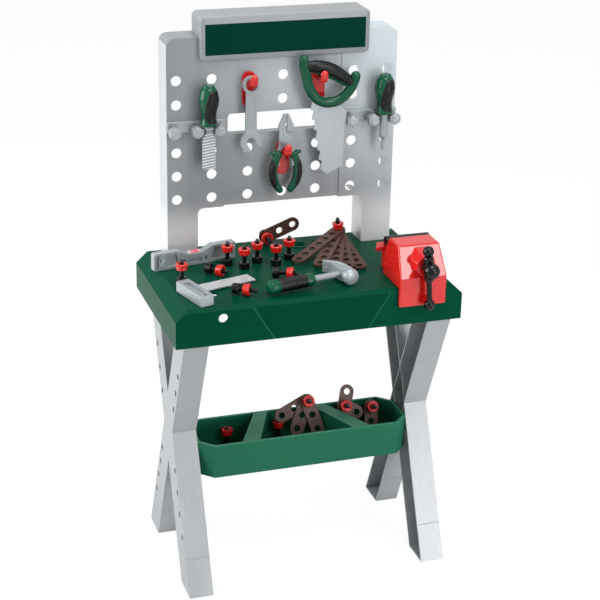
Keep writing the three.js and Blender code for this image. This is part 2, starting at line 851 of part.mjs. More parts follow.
function padBody() {
  const bottom = viseBase + rearJaw.top + GAP;
  const top = bottom + jawPad.height;
  const shape = outline([
    [jawPad.front, bottom],
    [jawPad.back, bottom],
    [jawPad.back, top, jawPad.round],
    [jawPad.front, top, jawPad.round],
  ]);
  return sideways(shape, jawPad.x - jawPad.width / 2, jawPad.width).subtract(jawBore);
}
add("vise_jaw_pad", padBody(), black);

// The spindle and its sliding bar, drawn about the screw's axis and turned to rest a little aslant.
const spindleTurn = group(screw.x, 0, screwZ);
spindleTurn.rotation.y = degrees(tommy.tilt);

function viseSpindle() {
  const knob = ball([0, screw.knobY, 0], screw.knob, 12, 8);
  const nose = -boss.front - GAP;
  const collar = rod("y", [0, screw.knobY, 0], nose - screw.knobY, screw.collar, 12);
  const stem = rod("y", [0, screw.knobY, 0], screw.tail - screw.knobY, screw.radius, 12);
  const cheek = rod("z", [0, tommy.y, -tommy.cheekHeight], 2 * tommy.cheekHeight, tommy.cheek, 12);
  const eye = rod("z", [0, tommy.y, -table.top], 2 * table.top, tommy.radius + GAP, 12);
  return joined([knob, collar, stem, cheek]).subtract(eye);
}
add("vise_spindle", viseSpindle(), black, spindleTurn);

function tommyBar() {
  const bottom = tommy.rest - tommy.length;
  return joined([
    rod("z", [0, tommy.y, bottom], tommy.length, tommy.radius, 12),
    ball([0, tommy.y, tommy.rest], tommy.ball, 12, 6),
    ball([0, tommy.y, bottom], tommy.ball, 12, 6),
  ]);
}
add("vise_tommy_bar", tommyBar(), black, spindleTurn);

// ---------------------------------------------------------------- the hammer
const hammer = { x: 60.7, y: 62.3, turn: 12.3, shaft: 6, reach: 156 };
const head = { face: 15, striker: 29, neck: 11, eye: 11 };
const claw = { height: 22, mouth: 26, notch: 4 };
const clawPlan = [
  [head.eye, -11, 3],
  [head.eye, 14, 6],
  [4, 34, 14],
  [-14, 50, 1],
  [-18, 46, 1],
  [-8, 32, 8],
  [-head.eye, 14, 3],
  [-head.eye, -11, 3],
];
const hammerGrip = { radius: 12.5, waist: 11, length: 92 };

function hammerHead() {
  const strikerProfile = [
    [0, 0],
    [head.face - 3, 0],
    [head.face, 3],
    [head.face, head.striker - 18],
    [head.neck, head.striker - 14],
    [head.neck, head.striker],
    [0, head.striker],
  ];
  const striker = placed(turned(strikerProfile, 12), [0, -head.striker, 0], [-90, 0, 0]);
  const prongs = lying(outline(clawPlan), -claw.height / 2, claw.height);
  const wedge = outline([
    [claw.mouth, 0],
    [3 * claw.mouth, -claw.notch],
    [3 * claw.mouth, claw.notch],
  ]);
  const notch = sideways(wedge, -table.depth, 2 * table.depth);
  const eye = rod("x", [-hammer.reach, 0, 0], hammer.reach + head.eye / 2, hammer.shaft + GAP, 10);
  return cut(joined([striker, prongs]), [notch, eye]);
}

function hammerGripBody() {
  const { radius, waist, length } = hammerGrip;
  const profile = [
    [0, 0],
    [8, 0],
    [radius, 5],
    [radius, 14],
    [waist, 24],
    [waist, length - 18],
    [radius - 1, length - 8],
    [radius - 1.5, length - 2],
    [hammer.shaft + 3, length],
    [0, length],
  ];
  const bore = rod("x", [gripEnd - GAP, 0, 0], hammer.reach, hammer.shaft + GAP, 10);
  return placed(turned(profile, 12), [-hammer.reach, 0, 0], [0, 90, 0]).subtract(bore);
}

const gripEnd = 12 - hammer.reach; // the shaft starts this far inside the grip
const hammerRest = group(hammer.x, hammer.y, tableTop + GAP + head.face, hammer.turn);
const hammerShaft = rod("x", [gripEnd, 0, 0], head.eye / 2 - GAP - gripEnd, hammer.shaft, 10);
add("hammer_head", hammerHead(), toolSilver, hammerRest);
add("hammer_shaft", hammerShaft, toolSilver, hammerRest);
add("hammer_grip", hammerGripBody(), green, hammerRest);

// ---------------------------------------------------------------- the try square
const square = { x: -216, y: 8, turn: 15.5, length: 87, width: 26, height: 19, seat: 8, lift: 1.5 };
const squareBlade = { length: 118, width: 30, thick: 3, end: 2 };
const stockRecess = { margin: 7, end: 14, deep: 5 };

function squareParts() {
  const blank = lying(rectangle(0, square.width, 0, square.length, 2), 0, square.height);
  const { margin, end, deep } = stockRecess;
  const recess = lying(
    rectangle(margin, square.width - margin, end, square.length - end, 3),
    square.height - deep,
    deep + 1,
  );
  const x0 = square.width - square.seat;
  const y1 = square.length - squareBlade.end;
  const y0 = y1 - squareBlade.width;
  const z1 = square.lift + squareBlade.thick;
  const seat = box(x0, square.width + 1, y0 - GAP, y1 + GAP, square.lift - GAP, z1 + GAP);
  const tongue = box(x0 + GAP, square.width + squareBlade.length, y0, y1, square.lift, z1);
  return { stock: cut(blank, [recess, seat]), tongue };
}
const squareRest = group(square.x, square.y, tableTop + GAP, square.turn);
const squareBodies = squareParts();
add("square_stock", squareBodies.stock, toolSilver, squareRest);
add("square_blade", squareBodies.tongue, toolSilver, squareRest);

// ---------------------------------------------------------------- the spirit level
const level = { x: -254, y: 190.6, turn: 11.2, length: 163, height: 33, thick: 14, web: 4, rim: 5, dip: 10 };
const vial = { radius: 4, length: 26 };
const hangHole = { x: 10, width: 12, end: 10 };

function levelBody() {
  const { length, height, thick, rim, dip } = level;
  const middle = length / 2;
  const body = standing(
    outline([
      [0, 0, 3],
      [length, 0, 3],
      [length, height, 4],
      [middle + 34, height, 8],
      [middle + 14, height - dip, 8],
      [middle - 14, height - dip, 8],
      [middle - 34, height, 8],
      [0, height, 4],
    ]),
    0,
    thick,
    3,
  );
  const deep = (thick - level.web) / 2;
  const pockets = [
    rectangle(rim, middle - 30, rim, height - rim, 3),
    rectangle(middle - 26, middle + 26, rim, height - dip - rim - 3, 3),
    rectangle(middle + 30, length - rim, rim, height - rim, 3),
  ].flatMap((shape) => [
    standing(shape, -1, deep + 1, 1),
    standing(shape, thick - deep, deep + 1, 1),
  ]);
  const { x, width, end } = hangHole;
  const hang = standing(rectangle(x, x + width, end, height - end, 5), -1, thick + 2, 2);
  const seatStart = [middle - vial.length / 2 - GAP, thick / 2, height - dip];
  const seat = rod("x", seatStart, vial.length + 2 * GAP, vial.radius + GAP, 12);
  return cut(body, [...pockets, hang, seat]);
}
const levelRest = group(level.x, level.y, tableTop + GAP, level.turn);
add("level_body", levelBody(), toolSilver, levelRest);
const vialStart = [(level.length - vial.length) / 2, level.thick / 2, level.height - level.dip];
add("level_vial", rod("x", vialStart, vial.length, vial.radius, 12), vialTint, levelRest);

// ---------------------------------------------------------------- bolts and nuts
const bolt = { head: 9.5, headHeight: 12, shank: 4.3, length: 45, tip: 2.3 };
const nut = { radius: 11, height: 12, at: 26 };

const boltProfile = (length, headHeight = bolt.headHeight) => [
  [0, 0],
  [bolt.head, 0],
  [bolt.head, headHeight - 1],
  [bolt.head - 1, headHeight],
  [bolt.shank, headHeight],
  [bolt.shank, length - 4],
  [bolt.tip, length],
  [0, length],
];
const nutProfile = [
  [0, 0],
  [nut.radius - 2, 0],
  [nut.radius, 3],
  [nut.radius, nut.height - 2],
  [nut.radius - 1.5, nut.height],
  [0, nut.height],
];
const boltBody = turned(boltProfile(bolt.length), 10);
const nutBlank = turned(nutProfile, 10);
const nutBody = nutBlank.subtract(rod("z", [0, 0, -1], nut.height + 2, bolt.shank + GAP, 10));

const standingBolts = [
  [-220, 125],
  [-118, 192],
  [-93, 168],
  [-62, 191],
  [-33, 168],
  [-1, 191],
];
standingBolts.forEach(([x, y], i) => {
  const place = group(x, y, tableTop + GAP);
  add("bolt_" + (i + 1), boltBody, black, place);
  add("nut_" + (i + 1), placed(nutBody, [0, 0, nut.at]), red, place);
});

// A bolt with its nut run down it, as one fastened piece.
const fastened = (at) => boltBody.add(placed(nutBlank, [0, 0, at]));
const lyingBolts = [
  { x: -162, y: 157, heading: -45, nutAt: 22.5 },
  { x: -142, y: 52, heading: -32, nutAt: 19 },
  { x: -52, y: 107, heading: -25, nutAt: 25 },
];
lyingBolts.forEach(({ x, y, heading, nutAt }, i) => {
  const place = group(x, y, tableTop + GAP + nut.radius, heading);
  const body = placed(fastened(nutAt), [-bolt.headHeight / 2, 0, 0], [0, 90, 0]);
  add("fastener_" + (i + 1), body, black, place);
});

// ---------------------------------------------------------------- perforated strips
const strip = { width: 27, thick: 3, hole: 6.2 };

// A strip along +X with its first hole on the origin.
function stripBody(holes, pitch) {
  const half = strip.width / 2;
  const shape = rectangle(-half, (holes - 1) * pitch + half, -half, half, half);
  const plate = lying(shape, 0, strip.thick, 3);
  const bores = Array.from({ length: holes }, (_, i) =>
    rod("z", [i * pitch, 0, -1], strip.thick + 2, strip.hole, 8),
  );
  return cut(plate, bores);
}

// A fan of strips on one fastener. The stack rests on the fastener's head and leans down sideways.
const fan = {
  x: 122.5,
  y: 266,
  holes: 7,
  pitch: 25.3,
  headings: [-137.6, -121.5, -111.5, -103, -95],
  downhill: -174,
  drop: 5.4,
  head: 4.5,
};
const fanStep = strip.thick + GAP;
const fanRest = group(fan.x, fan.y, tableTop + GAP + bolt.head * Math.sin(degrees(fan.drop)));
const downhill = degrees(fan.downhill);
const fanAxis = new THREE.Vector3(-Math.sin(downhill), Math.cos(downhill), 0);
fanRest.quaternion.setFromAxisAngle(fanAxis, degrees(fan.drop));
const fanStrip = stripBody(fan.holes, fan.pitch);
fan.headings.forEach((heading, i) => {
  const mesh = add("fan_strip_" + (i + 1), fanStrip, brown, fanRest);
  mesh.position.z = fan.head + GAP + (fan.headings.length - 1 - i) * fanStep;
  mesh.rotation.z = degrees(heading);
});
const fanNutAt = fan.head + GAP + fan.headings.length * fanStep;
const fanBolt = turned(boltProfile(fanNutAt + nut.height + 10, fan.head), 10);
add("fan_fastener", fanBolt.add(placed(nutBlank, [0, 0, fanNutAt])), black, fanRest);

// A short strip on its own fastener, leaning at the back of the table.
const shortStrip = { x: -18, y: 282, lift: 14, slope: 21, holes: 3, pitch: 27.6 };
const shortRest = group(shortStrip.x, shortStrip.y, tableTop + GAP + shortStrip.lift);
const shortBody = stripBody(shortStrip.holes, shortStrip.pitch);
const leaning = placed(placed(shortBody, [0, 0, 0], [90, 0, 0]), [0, 0, 0], [0, -shortStrip.slope, 0]);
add("loose_strip", leaning, brown, shortRest);
const behind = bolt.headHeight + strip.thick + 2 * GAP;
const shortFastener = placed(fastened(behind), [0, bolt.headHeight + GAP, 0], [90, 0, 0]);
add("loose_fastener", shortFastener, black, shortRest);

// The origin is the middle of the object's footprint, on the floor.
const frontmost = screw.knobY - screw.knob;
workbench.children.forEach((child) => child.position.setY(child.position.y - (wallBack + frontmost) / 2));

workbench.name = "toy_workbench";
export default workbench;
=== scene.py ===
"""The looks of a child's toy workbench: a green table on crossed grey legs, a grey tool wall with its
toy tools, a red vise, and the bolts, nuts and strips that lie about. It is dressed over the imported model."""

import math

import bmesh
import bpy
from mathutils import Matrix, Vector


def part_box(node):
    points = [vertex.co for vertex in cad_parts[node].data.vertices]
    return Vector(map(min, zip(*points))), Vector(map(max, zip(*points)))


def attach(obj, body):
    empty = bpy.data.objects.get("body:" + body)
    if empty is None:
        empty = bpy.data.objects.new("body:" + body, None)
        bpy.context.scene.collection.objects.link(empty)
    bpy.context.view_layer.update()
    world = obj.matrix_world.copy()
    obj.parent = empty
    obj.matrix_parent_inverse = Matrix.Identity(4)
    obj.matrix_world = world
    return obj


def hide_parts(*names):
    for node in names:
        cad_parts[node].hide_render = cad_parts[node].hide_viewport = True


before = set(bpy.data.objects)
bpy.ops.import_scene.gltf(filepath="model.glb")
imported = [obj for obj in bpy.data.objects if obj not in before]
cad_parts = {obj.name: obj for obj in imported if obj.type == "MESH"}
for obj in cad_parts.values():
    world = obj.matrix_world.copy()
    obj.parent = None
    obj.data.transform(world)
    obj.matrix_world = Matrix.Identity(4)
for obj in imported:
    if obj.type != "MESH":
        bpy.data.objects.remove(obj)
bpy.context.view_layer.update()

# ---------------------------------------------------------------- camera
# A long lens at a standing adult's height, a little to the left of the bench, with a slight roll.
camera_place = Vector((-0.87292, -2.58253, 1.62130))
camera_turn, camera_dip, camera_roll = 0.3257, 0.3906, 0.0222
ahead = Vector((
    math.sin(camera_turn) * math.cos(camera_dip),
    math.cos(camera_turn) * math.cos(camera_dip),
    -math.sin(camera_dip),
))
across = Vector((math.cos(camera_turn), -math.sin(camera_turn), 0))
upward = across.cross(ahead)
roll = Matrix.Rotation(-camera_roll, 3, ahead)
camera_data = bpy.data.cameras.new("camera")
camera_data.lens = 97.644
camera_data.sensor_width = 36
camera_data.clip_start = 0.05
camera_data.clip_end = 50
camera = bpy.data.objects.new("camera", camera_data)
bpy.context.scene.collection.objects.link(camera)
axes = Matrix((roll @ across, roll @ upward, -ahead)).transposed()
camera.matrix_world = Matrix.Translation(camera_place) @ axes.to_4x4()
bpy.context.scene.camera = camera
bpy.context.scene.view_settings.view_transform = "Standard"


# ---------------------------------------------------------------- floor, walls of light and the white room
# A white studio: a pale floor that keeps a faint shadow, a bright room for the gloss to mirror, and
# soft lamps. Every finish below is mixed with the two small classes that start here.
class Wire:
    """A socket of a finish. Python's arithmetic on it adds Math nodes."""

    def __init__(self, finish, socket):
        self.finish = finish
        self.socket = socket

    def maths(self, operation, *values):
        return self.finish.node("Math", {"operation": operation}, dict(enumerate(values)))

    def __add__(self, other):
        return self.maths("ADD", self, other)

    def __sub__(self, other):
        return self.maths("SUBTRACT", self, other)

    def __rsub__(self, other):
        return self.maths("SUBTRACT", other, self)

    def __mul__(self, other):
        return self.maths("MULTIPLY", self, other)

    def __gt__(self, other):
        return self.maths("GREATER_THAN", self, other)

    def __lt__(self, other):
        return self.maths("LESS_THAN", self, other)

    def __abs__(self):
        return self.maths("ABSOLUTE", self)

    __radd__ = __add__
    __rmul__ = __mul__

    def between(self, low, high):
        """0 below low, 1 above high, and smooth in between."""
        settings = {"interpolation_type": "SMOOTHSTEP"}
        sockets = {"Value": self, "From Min": low, "From Max": high}
        return self.finish.node("MapRange", settings, sockets)


class Finish:
    """A material or a world that is being mixed from nodes."""

    def __init__(self, owner):
        self.owner = owner
        owner.use_nodes = True
        self.tree = owner.node_tree
        self.tree.nodes.clear()

    def node(self, kind, settings=None, sockets=None, out=0):
        """A new node with its settings made and its inputs filled. It gives one of its outputs."""
        made = self.tree.nodes.new("ShaderNode" + kind)
        for key, value in (settings or {}).items():
            setattr(made, key, value)
        for key, value in (sockets or {}).items():
            if isinstance(value, Wire):
                self.tree.links.new(value.socket, made.inputs[key])
            else:
                made.inputs[key].default_value = value
        return Wire(self, made.outputs[out]) if len(made.outputs) else made

    def mix(self, amount, first, second):
        """A colour between two colours."""
        return self.node("Mix", {"data_type": "RGBA"}, {0: amount, 6: first, 7: second}, 2)

    def noise(self, place, scale, detail=2.0, stretch=(1, 1, 1)):
        """Cloudy noise, stretched along the axes whose factor is small."""
        turned = self.node("Mapping", None, {"Vector": place, "Scale": stretch})
        return self.node("TexNoise", None, {"Vector": turned, "Scale": scale, "Detail": detail})


def paint(code):
    """A colour written as on a paint chart, as the linear values that a shader takes."""
    parts = [int(code[i : i + 2], 16) / 255 for i in (0, 2, 4)]
    return tuple(p / 12.92 if p < 0.04045 else ((p + 0.055) / 1.055) ** 2.4 for p in parts) + (1,)


room = Finish(bpy.data.worlds.new("room"))
bpy.context.scene.world = room.owner
seen = room.node("LightPath", out="Is Camera Ray")
mirrored = room.node("LightPath", out="Is Glossy Ray")
through = room.node("LightPath", out="Is Transmission Ray")
lit = room.node("Background", None, {"Color": (1, 1, 1, 1), "Strength": 0.55})
white = room.node("Background", None, {"Color": (1, 1, 1, 1), "Strength": 1.0})
direct = seen.maths("MAXIMUM", seen.maths("MAXIMUM", seen, mirrored * 0.75), through)
shown = room.node("MixShader", None, {0: direct, 1: lit, 2: white})
room.node("OutputWorld", None, {"Surface": shown})

bpy.ops.mesh.primitive_plane_add(size=40)
floor = bpy.context.object
floor.name = "floor"
pale = Finish(bpy.data.materials.new("pale_floor"))
seen = pale.node("LightPath", out="Is Camera Ray")
chalk = pale.node("BsdfDiffuse", None, {"Color": (0.86, 0.86, 0.86, 1)})
glow = pale.node("Emission", None, {"Color": (1, 1, 1, 1), "Strength": 1.05})
covering = pale.node("MixShader", None, {0: seen * 0.85, 1: chalk, 2: glow})
pale.node("OutputMaterial", None, {"Surface": covering})
floor.data.materials.append(pale.owner)


def lamp(name, place, aim, size, power, spread=180):
    """A square soft lamp that faces its aim, with its beam spread over some degrees."""
    data = bpy.data.lights.new(name, "AREA")
    data.spread = math.radians(spread)
    data.size = size
    data.energy = power
    made = bpy.data.objects.new(name, data)
    bpy.context.scene.collection.objects.link(made)
    made.location = place
    made.rotation_euler = (Vector(aim) - Vector(place)).to_track_quat("-Z", "Y").to_euler()


lamp("key_lamp", (1.25, -2.6, 2.25), (0, 0, 0.6), 1.1, 30)
lamp("left_lamp", (-2.2, 0.45, 1.35), (0, 0.1, 0.85), 1.8, 60)
lamp("top_lamp", (0.1, -0.5, 2.9), (0, 0, 0.6), 1.6, 36)
lamp("low_lamp", (1.3, -2.1, 0.35), (0.12, 0, 0.02), 0.8, 1.7, spread=38)


# ---------------------------------------------------------------- the crossed legs
# Two X frames of pale grey plastic, each moulded as an open shell with its walls carried on as ribs
# across the crossing. Round locating holes run up the outer faces, and a foot is plugged on each end.
class Plastic(Finish):
    """Moulded plastic: a colour that drifts with the flow of the melt, under a fine orange-peel skin."""

    def __init__(self, name, colour, gloss, metallic=0.0, drift=0.08, flow=(1, 1, 1), peel=0.05, shine=0.4):
        super().__init__(bpy.data.materials.new(name))
        self.place = self.node("TexCoord", out="Object")
        self.metallic = metallic
        self.shine = shine
        self.peel = peel
        cloud = self.noise(self.place, 13, 4, flow)
        streak = self.noise(self.place, 90, 2, flow)
        tone = paint(colour)[:3]
        dark = [c * (1 - drift) for c in tone] + [1]
        light = [min(1, c * (1 + drift)) for c in tone] + [1]
        self.colour = self.mix((cloud * 0.7 + streak * 0.3).between(0.35, 0.65), dark, light)
        self.gloss = gloss + (cloud - 0.5) * 0.12 + (streak - 0.5) * 0.08
        self.height = self.noise(self.place, 420, 2) * peel

    def axis(self, letter):
        """One coordinate of the place on the piece."""
        return self.node("SeparateXYZ", None, {"Vector": self.place}, "XYZ".index(letter))

    def tint(self, amount, colour):
        self.colour = self.mix(amount, self.colour, paint(colour))

    def cast(self):
        """Wires the finish to a surface, and gives the material."""
        bump = {"Strength": 0.6, "Distance": 0.0004, "Height": self.height}
        relief = self.node("Bump", None, bump)
        sockets = {
            "Base Color": self.colour,
            "Roughness": self.gloss,
            "Metallic": self.metallic,
            "Specular IOR Level": self.shine,
            "Normal": relief,
        }
        surface = self.node("BsdfPrincipled", None, sockets)
        self.node("OutputMaterial", None, {"Surface": surface})
        return self.owner


def only(piece):
    """Leaves one piece selected and active."""
    bpy.ops.object.select_all(action="DESELECT")
    piece.select_set(True)
    bpy.context.view_layer.objects.active = piece
    return piece


def casting(node, whole=True):
    """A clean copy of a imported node, with its loose triangles merged and its flat faces made whole."""
    piece = bpy.data.objects.new(node + "_cast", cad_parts[node].data.copy())
    bpy.context.scene.collection.objects.link(piece)
    only(piece)
    bpy.ops.object.mode_set(mode="EDIT")
    bpy.ops.mesh.select_all(action="SELECT")
    bpy.ops.mesh.customdata_custom_splitnormals_clear()
    bpy.ops.mesh.remove_doubles(threshold=0.00001)
    if whole:
        bpy.ops.mesh.dissolve_limited(angle_limit=math.radians(0.3))
    bpy.ops.object.mode_set(mode="OBJECT")
    return piece


def start(shape, **sizes):
    """A primitive by itself, with its place in its mesh."""
    bpy.ops.object.select_all(action="DESELECT")
    getattr(bpy.ops.mesh, f"primitive_{shape}_add")(**sizes)
    bpy.ops.object.transform_apply()
    return bpy.context.object


def block(low, high):
    """A cube stretched between two corners."""
    low, high = Vector(low), Vector(high)
    return start("cube", size=1, location=(low + high) / 2, scale=high - low)


def rod(foot, top, radius, top_radius=None, sides=40):
    """A cylinder or cone between two points."""
    foot, top = Vector(foot), Vector(top)
    turn = (top - foot).to_track_quat("Z", "Y").to_euler()
    ends = {"radius1": radius, "radius2": radius if top_radius is None else top_radius}
    middle = (foot + top) / 2
    return start("cone", vertices=sides, depth=(top - foot).length, location=middle, rotation=turn, **ends)


def all_picked():
    """Selects the whole open piece by its vertices."""
    bpy.ops.mesh.select_mode(type="VERT")
    bpy.ops.mesh.select_all(action="SELECT")


def mended():
    """Closes the fine slits that a cut or a bevel can leave in the active piece."""
    bpy.ops.object.mode_set(mode="EDIT")
    all_picked()
    bpy.ops.mesh.remove_doubles(threshold=0.000002)
    bpy.ops.mesh.dissolve_degenerate(threshold=0.000001)
    bpy.ops.mesh.fill_holes(sides=12)
    bpy.ops.object.mode_set(mode="OBJECT")


def combined(piece, tools, operation="DIFFERENCE"):
    """Cuts the tools out of a piece, or fuses them with it."""
    only(piece)
    for tool in tools:
        change = piece.modifiers.new("change", "BOOLEAN")
        change.operation = operation
        change.solver = "EXACT"
        change.object = tool
        bpy.ops.object.modifier_apply(modifier="change")
        bpy.data.objects.remove(tool)
    mended()
    return piece


def smoothed(angle=30):
    """Shades the active piece smooth up to an angle, with its large flats kept flat."""
    piece = bpy.context.object
    if piece.data.has_custom_normals:
        bpy.ops.mesh.customdata_custom_splitnormals_clear()
    bpy.ops.object.shade_smooth_by_angle(angle=math.radians(angle))
    flats = piece.modifiers.new("flats", "WEIGHTED_NORMAL")
    flats.keep_sharp = True
    bpy.ops.object.modifier_apply(modifier="flats")


def eased(piece, width, steps=3, sharpness=35):
    """Rounds each sharp edge as a mould does, and shades the piece smooth with its flats still flat."""
    edge = only(piece).modifiers.new("edge", "BEVEL")
    edge.width = width
    edge.segments = steps
    edge.limit_method = "ANGLE"
    edge.angle_limit = math.radians(sharpness)
    bpy.ops.object.modifier_apply(modifier="edge")
    mended()
    smoothed()
    return piece


def fitted(piece, name, material, body, slot, *nodes):
    """Names a finished piece, paints it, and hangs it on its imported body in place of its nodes."""
    piece.name = piece.data.name = name
    piece.data.materials.clear()
    piece.data.materials.append(material)
    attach(piece, body)
    if nodes:
        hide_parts(*nodes)
    return piece


leg_grey = Plastic("leg_grey", "969A9D", 0.4, 0.25, drift=0.05, flow=(1, 1, 0.08))
height = leg_grey.axis("Z")
for level in (0.130, 0.196, 0.240, 0.328, 0.395):
    sink = 1 - abs(height - level).between(0.0003, 0.0012)
    leg_grey.tint(sink * 0.2, "8F979C")
    leg_grey.height = leg_grey.height - sink * 0.15
leg_grey_paint = leg_grey.cast()

foot_height, foot_seam = 0.065, 0.0006
hole_radius, hole_pitch, hole_edge, bar_lean, crossing_z = 0.0056, 0.040, 0.0185, 0.438, 0.276
hole_steps = (-4.5, -3.5, -2.6, -1.7, 1.3, 2.3, 3.3)
both_sides = ((-1, "left"), (1, "right"))
for side, where in both_sides:
    node = "leg_frame_" + where
    low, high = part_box(node)
    outer, crossing_y = high.x if side > 0 else low.x, (low.y + high.y) / 2
    for part, bottom, top in (("foot", -1, foot_height - foot_seam), ("leg", foot_height, 2)):
        shell = casting(node)
        bpy.ops.object.mode_set(mode="EDIT")
        for level, normal in ((bottom, -1), (top, 1)):
            bpy.ops.mesh.select_all(action="SELECT")
            cutting = {"plane_co": (0, 0, level), "plane_no": (0, 0, normal)}
            bpy.ops.mesh.bisect(use_fill=True, clear_outer=True, **cutting)
        bpy.ops.object.mode_set(mode="OBJECT")
        holes = []
        for way in (-1, 1) if part == "leg" else ():
            for step in hole_steps:
                z = crossing_z + step * hole_pitch
                edge = hole_edge if step > 0 else -hole_edge
                y = crossing_y + way * (bar_lean * (z - crossing_z) + edge)
                holes.append(rod((outer - 0.005, y, z), (outer + 0.005, y, z), hole_radius, sides=24))
        if holes:
            combined(shell, holes)
        eased(shell, 0.0007, 2)
        fitted(shell, f"{part}_{where}", leg_grey_paint, "bench", "leg_silver", node)


# ---------------------------------------------------------------- the tray
# A six-sided bin of mid green plastic that drops in between the legs, with two slanted dividers.
tray_green = Plastic("tray_green", "175A43", 0.36, drift=0.07, flow=(0.15, 1, 1), shine=0.12)
# The top edge of the rim is painted lighter green: a painted highlight where light catches the rim.
tray_rim_highlight = tray_green.axis("Z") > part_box("tray")[1].z - 0.0009
tray_green.tint(tray_rim_highlight * 0.5, "4A9478")
tray = casting("tray", whole=False)
eased(tray, 0.0012, 3)
fitted(tray, "tray_bin", tray_green.cast(), "bench", "tray_green", "tray")


# ---------------------------------------------------------------- the tabletop
# One deep green moulding with bevelled long edges and a turned-down apron, whose front carries a
# darker band with thin pale borders. It is bored for bolts, and one hole has a raised ring.
table_green = Plastic("table_green", "003F2C", 0.3, drift=0.06, flow=(0.12, 1, 1), peel=0.04, shine=0.025)
low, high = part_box("tabletop")
band_top, band_bottom, band_line = (0.127, high.z - 0.006), (0.086, low.z), 0.0009
sideways, inwards, upwards = (table_green.axis(letter) for letter in "XYZ")
rise = (upwards - band_bottom[1]) * (1 / (band_top[1] - band_bottom[1]))
edge = rise * (band_top[0] - band_bottom[0]) + band_bottom[0] - abs(sideways)
on_front = (inwards < low.y + 0.0006) * (upwards < band_top[1])
table_green.tint(on_front * (edge > 0), "003B27")
border = 1 - abs(edge).between(band_line * 0.5, band_line)
table_green.tint(on_front * border * 0.45, "3E8F70")
table_green_paint = table_green.cast()
table = casting("tabletop")
eased(table, 0.0014, 3)
fitted(table, "table_shell", table_green_paint, "bench", "green", "tabletop")


# ---------------------------------------------------------------- the tool wall
# Two hollow uprights and a lower-set middle panel of darker grey plastic, all bored with round
# peg holes. The pearly pigment lies in upright streaks.
wall_grey = Plastic("wall_grey", "85898C", 0.4, 0.3, drift=0.07, flow=(1, 1, 0.05), shine=0.4)
sideways, upwards = wall_grey.axis("X"), wall_grey.axis("Z")
# Painted light: the wall is tinted lighter toward the upper right, a painted pool of light from the key lamp's
# side.
wall_grey.tint((sideways * 1.1 + upwards * 1.75).between(1.05, 2.0), "C9D2D8")
# Painted light: the lower part of the wall is tinted lighter, lifting it out of the shade it falls in.
wall_grey.tint((1 - upwards.between(0.60, 0.67)) * 0.8, "D2D0D2")
# Painted shade: the upper left of the wall is tinted darker.
wall_grey.tint((upwards - sideways * 1.2).between(0.98, 1.2) * 0.55, "6B6F72")
# Painted light: the outer side faces of the uprights are tinted lighter, as if lit strongly from the side.
outer_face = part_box("upright_right")[1].x - 0.0008
wall_grey.tint((abs(sideways) > outer_face) * 0.5, "E2E6E8")
wall_grey_paint = wall_grey.cast()
peg_radius, peg_pitch, peg_first, rim_depth = 0.0094, 0.0439, 0.6665, 0.018
back_half, back_rim, upright_low, upright_floor = 0.1206, 0.0063, 0.64, 0.6551
peg_columns = {"upright_left": (-0.1978, -0.133), "centre_panel": (-0.065, 0, 0.065)}
peg_columns["upright_right"] = [-x for x in peg_columns["upright_left"]]
for node, columns in peg_columns.items():
    low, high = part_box(node)
    panel = casting(node)
    holes = [
        rod((x, low.y - 0.01, z), (x, low.y + 0.006, z), peg_radius, sides=41)
        for x in columns
        for z in [peg_first + row * peg_pitch for row in (0, 1, 2, 4, 5)]
    ]
    combined(panel, holes)
    if node == "centre_panel":
        back_low = (-back_half, low.y + rim_depth, low.z - 0.01)
        spare = [block(back_low, (back_half, high.y + 0.01, high.z - back_rim))]
    else:
        seam = low.x if abs(low.x) < abs(high.x) else high.x
        side = 1 if seam > 0 else -1
        near, far = sorted((seam - side * 0.002, seam + side * 0.008))
        spare = [block((near, low.y + rim_depth, upright_low), (far, high.y + 0.01, high.z - 0.006))]
        near, far = sorted((seam + side * 0.0079, seam + side * 0.035))
        spare.append(block((near, low.y + rim_depth, upright_low), (far, high.y + 0.01, upright_floor)))
    combined(panel, spare)
    eased(panel, 0.0009, 3)
    fitted(panel, node + "_shell", wall_grey_paint, "bench", "silver", node)


# ---------------------------------------------------------------- the header
# A hollow silver hood that sits on the wall's top edge. Its front has a sloping border round a
# bare, dark green plate that is set in flush.
def at(piece, place, turns=(0, 0, 0)):
    """Moves a piece that was made about the origin to its place, after its turns in degrees."""
    only(piece)
    piece.location = place
    piece.rotation_euler = [math.radians(turn) for turn in turns]
    bpy.ops.object.transform_apply()
    return piece


def edit(piece):
    """Opens a piece for shaping."""
    only(piece)
    bpy.ops.object.mode_set(mode="EDIT")


def pick(kind, wanted):
    """Selects those vertices, edges or faces of the open piece that pass a test."""
    bpy.ops.mesh.select_mode(type=kind)
    bpy.ops.mesh.select_all(action="DESELECT")
    shape = bmesh.from_edit_mesh(bpy.context.object.data)
    for part in {"VERT": shape.verts, "EDGE": shape.edges, "FACE": shape.faces}[kind]:
        if wanted(part):
            part.select_set(True)
    shape.select_flush_mode()
    bmesh.update_edit_mesh(bpy.context.object.data)


def shut(piece):
    """Merges what coincides, turns all faces outwards, and closes the piece."""
    all_picked()
    bpy.ops.mesh.remove_doubles(threshold=0.000005)
    bpy.ops.mesh.normals_make_consistent(inside=False)
    bpy.ops.object.mode_set(mode="OBJECT")
    return piece


